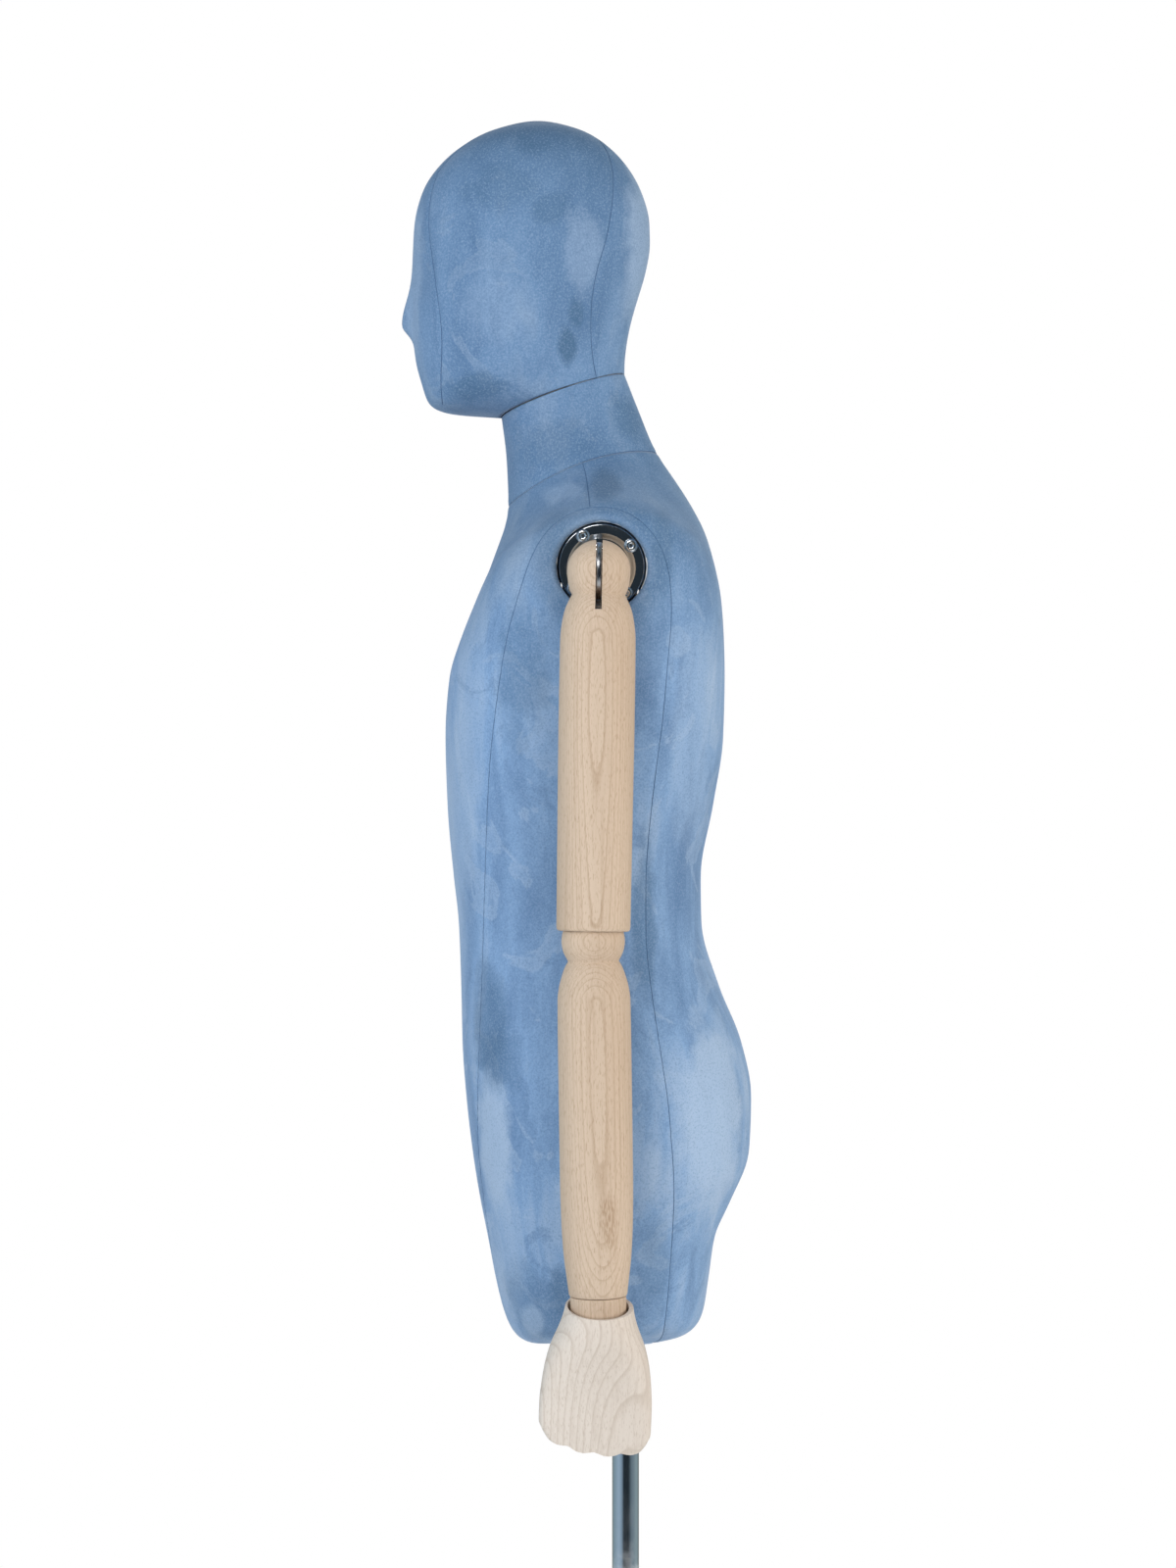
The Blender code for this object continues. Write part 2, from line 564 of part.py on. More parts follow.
def build_hand(mats, wrist, side, suffix):
    hand = add_pivot(f"wrist_bend_pivot{suffix}", wrist, (0, 0, -WRIST_DROP), (0, side * HAND_TILT, 0))
    frame = add_pivot(f"palm_frame{suffix}", hand, (0, 0, 0), (HAND_LEAN, 0, 0))
    lean = Matrix.Rotation(HAND_LEAN, 3, "X")
    rings = []
    for drop, half_x, half_y, squareness in PALM_STATIONS:
        section = rounded_section(half_x, half_y, squareness, BODY_SEGMENTS)
        rings.append([lean @ Vector((x, y, RIM_ABOVE_PIVOT - drop)) for x, y in section])
    palm = add_object(f"palm{suffix}", loft_mesh(f"palm{suffix}", rings, capped=True), mats["pale_beech"], hand)

    cup_profile = [(0, 20), (22.6, 20), (22.6, RIM_ABOVE_PIVOT), *arc((0, 0), 21.6, 0, -90, 5)]
    cup = turned(f"palm_cup{suffix}", cup_profile, parent=hand, sides=ARM_SEGMENTS)
    cup.scale.x = 1.15
    combine(palm, "DIFFERENCE", cup)

    notch_half_width = FINGER_WIDTH / 2 + 0.4
    for column, finger in enumerate(KNUCKLE_Z):
        place = (side * KNUCKLE_X, (column - 1.5) * FINGER_PITCH, KNUCKLE_Z[finger])
        seat = add_pivot(f"{finger}_seat{suffix}", frame, place)
        combine(palm, "DIFFERENCE", knuckle_notch(f"{finger}_notch{suffix}", side, notch_half_width, seat))
        build_finger(mats, frame, finger, column, side, suffix)
    thumb_frame = build_thumb(mats, frame, side, suffix)
    combine(palm, "DIFFERENCE", knuckle_notch(f"thumb_notch{suffix}", side, notch_half_width, thumb_frame))

    inner, wall = sorted((side * -30, side * (KNUCKLE_X + FINGER_RADIUS + 0.4)))
    combine(palm, "DIFFERENCE", box(f"web_trim{suffix}", (inner, -60, -120), (wall, 60, -91), parent=frame))
    for boundary in (-1, 0, 1):
        scallop = rod(f"scallop_{boundary + 1}{suffix}", "X", 5, -30, 30,
                      (boundary * FINGER_PITCH, -99), parent=frame, sides=12)
        combine(palm, "DIFFERENCE", scallop)


def build_arm(mats, torso, side, suffix):
    build_shoulder_plate(mats, torso, side, suffix)
    centre = (side * SHOULDER[0], SHOULDER[1], SHOULDER[2])
    swing = add_pivot(f"shoulder_swing_pivot{suffix}", torso, centre, (-ARM_LEAN, 0, 0))
    build_hook(mats, swing, side, suffix)
    arm = add_pivot(f"shoulder_raise_pivot{suffix}", swing, (0, 0, 0), (0, -side * ARM_SPLAY, 0))
    build_upper_arm(mats, arm, suffix)
    build_elbow_tongue(mats, arm, suffix)
    elbow = add_pivot(f"elbow_pivot{suffix}", arm, (0, 0, -UPPER_ARM_LENGTH), (-ELBOW_SET, 0, 0))
    build_forearm(mats, elbow, suffix)
    wrist = add_pivot(f"wrist_turn_pivot{suffix}", elbow, (0, 0, -FOREARM_LENGTH))
    build_wrist(mats, wrist, suffix)
    build_hand(mats, wrist, side, suffix)


def main():
    clear_scene()
    mats = {
        "velvet": make_material("velvet", (0.19, 0.33, 0.52), 0.95),
        "shell": make_material("fibreglass", (0.75, 0.73, 0.68), 0.6),
        "plywood": make_material("plywood", (0.62, 0.48, 0.32), 0.6),
        "beech": make_material("beech", (0.66, 0.52, 0.38), 0.5),
        "pale_beech": make_material("pale_beech", (0.72, 0.64, 0.56), 0.6),
        "chrome": make_material("chrome", (0.80, 0.82, 0.84), 0.08, 1.0),
        "steel": make_material("brushed_steel", (0.55, 0.56, 0.58), 0.3, 1.0),
        "brass": make_material("brass", (0.72, 0.52, 0.22), 0.3, 1.0),
        "rubber": make_material("rubber", (0.04, 0.04, 0.04), 0.9),
        "knob": make_material("black_plastic", (0.03, 0.03, 0.03), 0.45),
    }
    rod_pivot = build_stand(mats)
    torso, cut = build_torso(mats, rod_pivot)
    build_head(mats, cut)
    for side, suffix in ((1, "_left"), (-1, "_right")):
        build_arm(mats, torso, side, suffix)


main()
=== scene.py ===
"""Looks of a velvet-covered half-body mannequin with turned wooden arms on a chrome pole.

Lengths are in millimetres until a mesh is made. +Z is up, the figure faces -Y and its
left arm is at +X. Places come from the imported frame: its joints and its nodes' boxes.
"""
import json
import math

import bmesh
import bpy
import numpy as np
from mathutils import Matrix, Vector
from mathutils.bvhtree import BVHTree
from mathutils.kdtree import KDTree

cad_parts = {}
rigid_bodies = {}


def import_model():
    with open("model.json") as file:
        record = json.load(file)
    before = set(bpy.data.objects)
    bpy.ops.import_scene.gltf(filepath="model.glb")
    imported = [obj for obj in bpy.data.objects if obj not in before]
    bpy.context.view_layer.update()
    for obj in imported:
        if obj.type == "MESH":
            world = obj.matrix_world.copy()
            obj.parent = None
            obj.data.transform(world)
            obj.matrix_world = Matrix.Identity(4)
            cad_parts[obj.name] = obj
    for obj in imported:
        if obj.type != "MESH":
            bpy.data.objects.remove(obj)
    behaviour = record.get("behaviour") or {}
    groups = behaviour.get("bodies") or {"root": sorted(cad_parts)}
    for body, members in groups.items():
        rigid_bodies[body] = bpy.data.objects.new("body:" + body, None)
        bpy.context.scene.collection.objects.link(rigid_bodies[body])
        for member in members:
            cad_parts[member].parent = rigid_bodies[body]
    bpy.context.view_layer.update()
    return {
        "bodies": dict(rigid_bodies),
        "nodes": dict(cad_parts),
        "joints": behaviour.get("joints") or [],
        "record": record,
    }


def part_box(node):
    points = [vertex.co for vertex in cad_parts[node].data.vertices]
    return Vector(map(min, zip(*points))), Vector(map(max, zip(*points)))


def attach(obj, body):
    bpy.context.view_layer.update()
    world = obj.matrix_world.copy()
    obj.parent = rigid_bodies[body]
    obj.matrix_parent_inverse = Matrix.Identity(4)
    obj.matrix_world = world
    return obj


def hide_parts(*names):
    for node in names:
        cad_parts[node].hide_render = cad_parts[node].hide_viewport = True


UNIT = 0.001
SIDES = (("left", 1), ("right", -1))
FINGERS = ("index", "middle", "ring", "little")

# The velvet cover
COVER_THICKNESS = 2.0
RING_SPACING = 2.4
BODY_COLUMNS = 320
HEAD_COLUMNS = 288
BLUR = 5.0
SHELL_DEPTH = 3.0
SHELL_THICKNESS = 4.0
TORSO_BOTTOM = 807.5
NECK_SEAM_SHARE = 0.04
SEAM_DEPTH = 0.55
SEAM_HALF_WIDTH = 1.5
SEAM_REACH = 12
PUCKER_HEIGHT = 0.16
PUCKER_DISTANCE = 4.0
PUCKER_WIDTH = 2.2
THREAD_RADIUS = 0.28
THREAD_STEP = 2.5

# The armhole and its plate
ARMHOLE_CENTRE = (-20.5, 1429.5)
ARMHOLE_RADIUS = 34.0
ROLL_RADIUS = 4.5
ROLL_REACH = 50.0
ROLL_START = 18.0
ROLL_DEPTH = 6
WALL_SHARE = 0.3
EDGE_SHARE = 0.5
PLATE_RADIUS = 32.8
SCREW_CIRCLE = 27.5
SCREW_ANGLES = (36, 121, 217, 313)

# The arms
BALL_RADIUS = 23.6
SLOT_WIDTH = 4.8
SLOT_BOTTOM = -30.5
TONGUE_THICKNESS = 4.0
TONGUE_RADIUS = 21.5
PIN_RADIUS = 3.0
PIN_PLAY = 0.4
SPINDLE_RADIUS = 6.0
LIP_HEIGHT = 7.3
CUP_PLAY = 1.2
ELBOW_SLOT_HALF = 3
ELBOW_PIN_HOLE = 4.5
MORTISE_HALF_WIDTH = 9.5
MORTISE_REACH = (15, 56)
STEM_BORE = (9, 27)
WRIST_RADIUS = 20.7
ARM_COLUMNS = 112

# The hands
HAND_TILT = math.radians(12.4)
HAND_LEAN = math.radians(-2.9)
RIM_ABOVE_PIVOT = 16.0
CUP_RADIUS = 21.6
CUP_STRETCH = 1.15
EDGE_CURVE = 0.0049
EDGE_LOWEST_Y = 12.0
LOBE_HEIGHT = 2.4
SCALLOP_RADIUS = 5
SCALLOP_HEIGHT = -101.5
WEB_TOP = -91
FINGER_PITCH = 20.0
FINGER_WIDTH = 15.0
FINGER_RADIUS = 7.2
FINGER_PLAY = 0.4
FINGER_PIN_RADIUS = 1.5
KNUCKLE_X = -1.0
TIP_LENGTH = 19.0
TIP_ROUND = 6.5
THUMB_TIP_LENGTH = 20.0
TIP_FLEX = math.radians(25)
THUMB_TIP_FLEX = math.radians(8)

# The head: where the crown seam is looked at from, and the heights of the features
HEAD_MIDDLE = (0, -78, 1715)
NOSE_HEIGHT = 1634
EYE_HEIGHT = 1664
CHEEK_HEIGHT = 1628

# The stand and the studio
SOCKET_SCREW_CIRCLE = 28
FLOOR_RADIUS = 1900
CAMERA_PLACE = (2.14, -0.0308, 1.310)
CAMERA_PITCH = 1.3
CAMERA_LENS = 60.23

# Stations of the body: front point (y, z), back point (y, z), half width, fullness of
# the section and how far its sides are lifted above its middle.
NECK_STATIONS = [
    ((-101, 1559), (-1, 1593.4), 54, 0, 0),
    ((-97, 1526), (11, 1563), 54, 0, 0),
    ((-95.5, 1487.5), (24.5, 1531), 60, 0, 9),
]
TORSO_STATIONS = [
    ((-98, 1472), (42, 1505), 86, -0.2, 14),
    ((-103, 1457), (55.5, 1483), 116, -0.25, 20),
    ((-108, 1443), (65, 1463), 142, -0.08, 25),
    ((-114, 1425), (72, 1436), 156, 0.23, 33),
    ((-122, 1405), (77, 1407), 160.5, 0.33, 30),
    ((-133, 1379), (79, 1379), 160, 0.33, 20),
    ((-143, 1348), (80, 1348), 158, 0.28, 8),
    ((-146.5, 1300), (79, 1300), 153, 0.23, 0),
    ((-145, 1245), (71, 1245), 144, 0.18, 0),
    ((-140, 1187), (61, 1187), 136, 0.18, 0),
    ((-136, 1150), (61.5, 1150), 136, 0.18, 0),
    ((-134, 1097), (76, 1097), 146, 0.18, 0),
    ((-133, 1052), (94, 1052), 159, 0.18, 0),
    ((-130, 1010), (102, 1010), 165, 0.18, 0),
    ((-125, 966), (100.5, 966), 163, 0.18, 0),
    ((-119, 928), (86, 928), 157, 0.18, 0),
    ((-113, 898), (73, 898), 150, 0.18, 0),
    ((-106, 862), (67.5, 862), 141, 0.23, 4),
    ((-99, 834), (63, 834), 131, 0.23, 11),
    ((-93, 820), (57, 823), 121, 0.23, 16),
    ((-84, 811.5), (46, 815), 109, 0.23, 20),
    ((-72, 808.3), (33, 810.5), 94, 0.18, 20.5),
    ((-29, TORSO_BOTTOM), (29, TORSO_BOTTOM), 29, 0, 0),
    ((-17, TORSO_BOTTOM), (17, TORSO_BOTTOM), 17, 0, 0),
]
HEAD_STATIONS = [
    ((-101.2, 1559.8), (-1.2, 1594.2), 54, 0, 0),
    ((-145, 1563), (-1, 1605), 57, 0, 0),
    ((-159.5, 1569), (0.5, 1618), 62, 0, 0),
    ((-166, 1587), (4, 1636), 67, 0, 0),
    ((-171, 1606), (9.5, 1655), 71.5, 0, 0),
    ((-173, 1634), (16, 1677), 75.5, 0, 0),
    ((-173.5, 1664), (19.5, 1698), 78, 0, 0),
    ((-172, 1712), (19, 1718), 78, 0, 0),
    ((-165, 1741), (12.5, 1741.5), 73, 0, 0),
    ((-150, 1763), (-0.5, 1763.5), 63, 0, 0),
    ((-131, 1778.5), (-17, 1779.5), 49, 0, 0),
    ((-111, 1789), (-36, 1790.5), 31, 0, 0),
    ((-72, 1798.5), (-72, 1798.5), 0, 0, 0),
]

# Seams as (y, z) points on the left side; each is mirrored to the right.
SIDE_PANEL_SEAM = [
    (-80, 808), (-96, 832), (-105, 866), (-112, 920), (-116, 955), (-118, 985), (-114, 1109),
    (-110, 1217), (-107, 1274), (-101, 1326), (-92, 1380), (-82, 1414), (-77, 1430), (-69, 1448),
    (-58, 1462), (-45, 1471), (-29, 1475.5), (-12, 1475), (5, 1468), (19, 1455), (27, 1440),
    (32, 1420), (33, 1395), (30, 1355), (26, 1310), (22, 1279), (17, 1235), (14, 1187), (14, 1149),
    (17, 1114), (21, 1085), (26, 1052), (30, 1025), (33, 990), (35, 955), (34, 915), (32, 880),
    (29, 845), (25, 815), (20, 803),
]
SHOULDER_SEAM = [(-35, 1516.5), (-33, 1511), (-32, 1503), (-31, 1492), (-30, 1481), (-29.5, 1476)]
HEAD_SIDE_SEAM = [
    (-148, 1567), (-149, 1583), (-148, 1596), (-147, 1606), (-147, 1621), (-151, 1652),
    (-155, 1682), (-158, 1706), (-157.5, 1727), (-151, 1752),
]
HEAD_BACK_SEAM = [
    (-22, 1781), (-14, 1766), (-10, 1744), (-11.5, 1721), (-16, 1693), (-24, 1667), (-28, 1642),
    (-28.5, 1621), (-27.5, 1606), (-26, 1594), (-24, 1587),
]


# ------------------------------------------------------------------ curves and sections

def monotone(knots, values, queries):
    """Monotone cubic interpolation of several channels at once."""
    knots, values = np.asarray(knots, float), np.asarray(values, float)
    steps = np.diff(knots)[:, None]
    secants = np.diff(values, axis=0) / steps
    before, after = secants[:-1], secants[1:]
    with np.errstate(divide="ignore", invalid="ignore"):
        first, second = 2 * steps[1:] + steps[:-1], steps[1:] + 2 * steps[:-1]
        inner = (first + second) / (first / before + second / after)
    slopes = np.concatenate([secants[:1], np.where(before * after > 0, inner, 0), secants[-1:]])
    cell = np.clip(np.searchsorted(knots, queries) - 1, 0, len(knots) - 2)
    span = steps[cell]
    share = (queries - knots[cell])[:, None] / span
    rest = 1 - share
    return (values[cell] * (1 + 2 * share) * rest ** 2 + slopes[cell] * span * share * rest ** 2
            + values[cell + 1] * share ** 2 * (3 - 2 * share)
            - slopes[cell + 1] * span * share ** 2 * rest)


def lengths_along(points):
    gaps = np.linalg.norm(np.diff(np.asarray(points, float), axis=0), axis=1)
    return np.concatenate([[0], np.cumsum(gaps)])


def curve_through(points, step):
    """Points at even steps on a smooth curve through the given ones."""
    knots = lengths_along(points)
    count = max(2, int(round(knots[-1] / step)) + 1)
    return monotone(knots, points, np.linspace(0, knots[-1], count))


def arc(centre, radius, start, end, steps):
    """Points (across, up) on an arc given in degrees."""
    angles = np.radians(np.linspace(start, end, steps + 1))
    return [(centre[0] + radius * math.cos(a), centre[1] + radius * math.sin(a)) for a in angles]


def eased(profile, radius, steps=3):
    """Round every corner of an open polyline with a small arc-like curve."""
    points = [np.asarray(point, float) for point in profile]
    result = [points[0]]
    for before, corner, after in zip(points, points[1:], points[2:]):
        inward, outward = before - corner, after - corner
        short, long = np.linalg.norm(inward), np.linalg.norm(outward)
        turn = np.dot(inward, outward) / (short * long)
        if turn < -0.985:
            result.append(corner)
            continue
        reach = min(radius, short * 0.45, long * 0.45)
        start, end = corner + inward / short * reach, corner + outward / long * reach
        for share in np.linspace(0, 1, steps + 1):
            result.append(start * (1 - share) ** 2 + corner * 2 * share * (1 - share) + end * share ** 2)
    result.append(points[-1])
    return result


def blurred(channels, sigma):
    """Gaussian blur along the first axis that keeps the end values and slopes."""
    reach = int(3 * sigma)
    weights = np.exp(-0.5 * (np.arange(-reach, reach + 1) / sigma) ** 2)
    weights /= weights.sum()
    head = 2 * channels[0] - channels[reach:0:-1]
    tail = 2 * channels[-1] - channels[-2:-reach - 2:-1]
    padded = np.concatenate([head, channels, tail])
    return np.stack([np.convolve(padded[:, i], weights, "valid") for i in range(channels.shape[1])], 1)


def seam_path(points):
    """Even, flowing (y, z) points along a seam."""
    return blurred(curve_through(points, 3.0), 3.0)


def station_knots(table):
    steps = np.diff(table, axis=0)
    front, back = np.hypot(steps[:, 0], steps[:, 1]), np.hypot(steps[:, 2], steps[:, 3])
    return np.concatenate([[0], np.cumsum((front + back) / 2)])


def dense_stations(stations):
    """One smoothed station per millimetre of the body's length, and the given stations' places."""
    table = np.array([[*front, *back, *rest] for front, back, *rest in stations], float)
    knots = station_knots(table)
    places = np.linspace(0, knots[-1], int(knots[-1]) + 1)
    return places, blurred(monotone(knots, table, places), BLUR), knots


def station_rings(places, channels, wanted, columns):
    """Grid of points (rows, columns, 3) of the sections at the wanted places."""
    rows = np.stack([np.interp(wanted, places, channels[:, i]) for i in range(channels.shape[1])], 1)
    front_y, front_z, back_y, back_z, half, fullness, lift = (rows[:, i, None] for i in range(7))
    angles = 2 * np.pi * np.arange(columns) / columns
    side, along = np.cos(angles)[None], np.sin(angles)[None]
    along = along * (1 + fullness * side ** 2)
    return np.stack([half * side + 0 * along,
                     (front_y + back_y) / 2 + (back_y - front_y) / 2 * along,
                     (front_z + back_z) / 2 + (back_z - front_z) / 2 * along + lift * side ** 2], 2)


def grid_normals(grid):
    across = np.roll(grid, -1, 1) - np.roll(grid, 1, 1)
    down = np.gradient(grid, axis=0)
    normals = np.cross(down, across)
    sizes = np.linalg.norm(normals, axis=2, keepdims=True)
    return normals / np.maximum(sizes, 1e-9)


def smooth_step(low, high, value):
    share = np.clip((value - low) / (high - low), 0, 1)
    return share * share * (3 - 2 * share)


# ------------------------------------------------------------------ meshes and objects

def new_object(name, mesh, *materials):
    item = bpy.data.objects.new(name, mesh)
    bpy.context.scene.collection.objects.link(item)
    for material in materials:
        mesh.materials.append(material)
    return item


def mesh_of(name, points, faces, smooth=True):
    """A mesh in metres from points in millimetres."""
    mesh = bpy.data.meshes.new(name)
    mesh.from_pydata([tuple(point) for point in np.asarray(points, float) * UNIT], [],
                     [tuple(int(i) for i in face) for face in faces])
    mesh.update()
    if smooth:
        mesh.shade_smooth()
    return mesh


def grid_faces(rows, columns, start=0):
    """Quads of a closed tube of points, numbered row by row."""
    faces = []
    for row in range(rows - 1):
        for column in range(columns):
            following = (column + 1) % columns
            a, b = start + row * columns, start + (row + 1) * columns
            faces.append((a + column, b + column, b + following, a + following))
    return faces


def make_solid(item, sharp_degrees=34):
    """Make the normals face out, mark the sharp edges and shade smooth."""
    shape = bmesh.new()
    shape.from_mesh(item.data)
    bmesh.ops.remove_doubles(shape, verts=shape.verts, dist=1e-6)
    bmesh.ops.recalc_face_normals(shape, faces=shape.faces)
    shape.to_mesh(item.data)
    shape.free()
    item.data.shade_smooth()
    item.data.set_sharp_from_angle(angle=math.radians(sharp_degrees))
    return item


def applied(item):
    """Replace the mesh by the one its modifiers make."""
    bpy.context.view_layer.update()
    evaluated = item.evaluated_get(bpy.context.evaluated_depsgraph_get())
    mesh = bpy.data.meshes.new_from_object(evaluated)
    old = item.data
    item.modifiers.clear()
    item.data = mesh
    bpy.data.meshes.remove(old)
    return item


def cut(item, *cutters, operation="DIFFERENCE"):
    for cutter in cutters:
        step = item.modifiers.new(operation.title(), "BOOLEAN")
        step.operation = operation
        step.solver = "EXACT"
        step.object = cutter
    applied(item)
    for cutter in cutters:
        bpy.data.objects.remove(cutter)
    return item


def lathe(name, profile, columns, material, frame=Matrix.Identity(4)):
    """Turn a profile of (radius, height) points about the frame's Z axis."""
    angles = 2 * np.pi * np.arange(columns) / columns
    points, rings = [], []
    for radius, height in profile:
        if radius < 1e-6:
            rings.append([len(points)] * columns)
            points.append((0, 0, height))
        else:
            rings.append(list(range(len(points), len(points) + columns)))
            points.extend((radius * math.cos(a), radius * math.sin(a), height) for a in angles)
    faces = []
    closed = np.allclose(profile[0], profile[-1])
    pairs = list(zip(rings, rings[1:]))
    if closed:
        pairs = list(zip(rings[:-1], rings[1:-1] + rings[:1]))
        points = points[:-columns]
    for upper, lower in pairs:
        for column in range(columns):
            following = (column + 1) % columns
            corners = [upper[column], lower[column], lower[following], upper[following]]
            unique = list(dict.fromkeys(corners))
            if len(unique) > 2:
                faces.append(unique)
    item = new_object(name, mesh_of(name, points, faces), material)
    item.matrix_world = frame
    return make_solid(item)


def block(name, low, high, frame=Matrix.Identity(4), material=None):
    corners = [(x, y, z) for x in (low[0], high[0]) for y in (low[1], high[1]) for z in (low[2], high[2])]
    faces = [(0, 1, 3, 2), (4, 6, 7, 5), (0, 4, 5, 1), (2, 3, 7, 6), (0, 2, 6, 4), (1, 5, 7, 3)]
    item = new_object(name, mesh_of(name, corners, faces, smooth=False), *([material] if material else []))
    item.matrix_world = frame
    return make_solid(item)


def turned_along(axis):
    """Rotation that takes +Z to the given axis."""
    return Vector((0, 0, 1)).rotation_difference(Vector(axis)).to_matrix().to_4x4()


def pin(name, centre, axis, radius, half_length, material, frame=Matrix.Identity(4), columns=24, dome=0.5):
    """A short rod with eased ends, centred on a point of the frame."""
    corners = [(0, half_length), (radius, half_length), (radius, -half_length), (0, -half_length)]
    profile = eased(corners, dome)
    place = Matrix.Translation(Vector(centre) * UNIT) @ turned_along(axis)
    return lathe(name, profile, columns, material, frame @ place)


def slab(name, outline, half_thickness, material, frame=Matrix.Identity(4), bevel=0.0, segments=3):
    """An outline of (x, z) points, extruded both ways along the frame's Y axis."""
    count = len(outline)
    points = [(x, y, z) for y in (-half_thickness, half_thickness) for x, z in outline]
    faces = [list(range(count)), list(range(2 * count - 1, count - 1, -1))]
    for index in range(count):
        following = (index + 1) % count
        faces.append((index, following, count + following, count + index))
    item = new_object(name, mesh_of(name, points, faces, smooth=False), *([material] if material else []))
    item.matrix_world = frame
    make_solid(item)
    if bevel:
        edge = item.modifiers.new("Edge", "BEVEL")
        edge.width = bevel * UNIT
        edge.segments = segments
        edge.limit_method = "ANGLE"
        edge.angle_limit = math.radians(40)
        applied(item)
        item.data.shade_smooth()
        item.data.set_sharp_from_angle(angle=math.radians(30))
    return item


def tube(name, points, radius, material, sides=8):
    """A thin round cord along points, closed at its ends."""
    points = np.asarray(points, float)
    tangents = np.gradient(points, axis=0)
    tangents /= np.linalg.norm(tangents, axis=1, keepdims=True)
    start = np.cross(tangents[0], (0.3, 0.5, 0.8))
    rows = []
    for point, tangent in zip(points, tangents):
        start = start - tangent * np.dot(start, tangent)
        start = start / np.linalg.norm(start)
        other = np.cross(tangent, start)
        angles = 2 * np.pi * np.arange(sides) / sides
        rows.append(point + radius * (np.cos(angles)[:, None] * start + np.sin(angles)[:, None] * other))
    grid = np.concatenate(rows)
    faces = grid_faces(len(points), sides)
    faces += [list(range(sides)), list(range(len(grid) - sides, len(grid)))]
    item = new_object(name, mesh_of(name, grid, faces), material)
    return make_solid(item, 60)


def joined(name, items):
    """Join objects of one body into the first, keeping their materials."""
    with bpy.context.temp_override(active_object=items[0], object=items[0], selected_objects=items,
                                   selected_editable_objects=items):
        bpy.ops.object.join()
    items[0].name = name
    return items[0]


# ------------------------------------------------------------------ materials

def set_stops(ramp, stops):
    """Give a colour ramp its (position, grey or colour) stops."""
    elements = ramp.color_ramp.elements
    while len(elements) < len(stops):
        elements.new(0.5)
    for element, (position, colour) in zip(elements, stops):
        element.position = position
        element.color = (*colour, 1) if isinstance(colour, tuple) else (colour, colour, colour, 1)


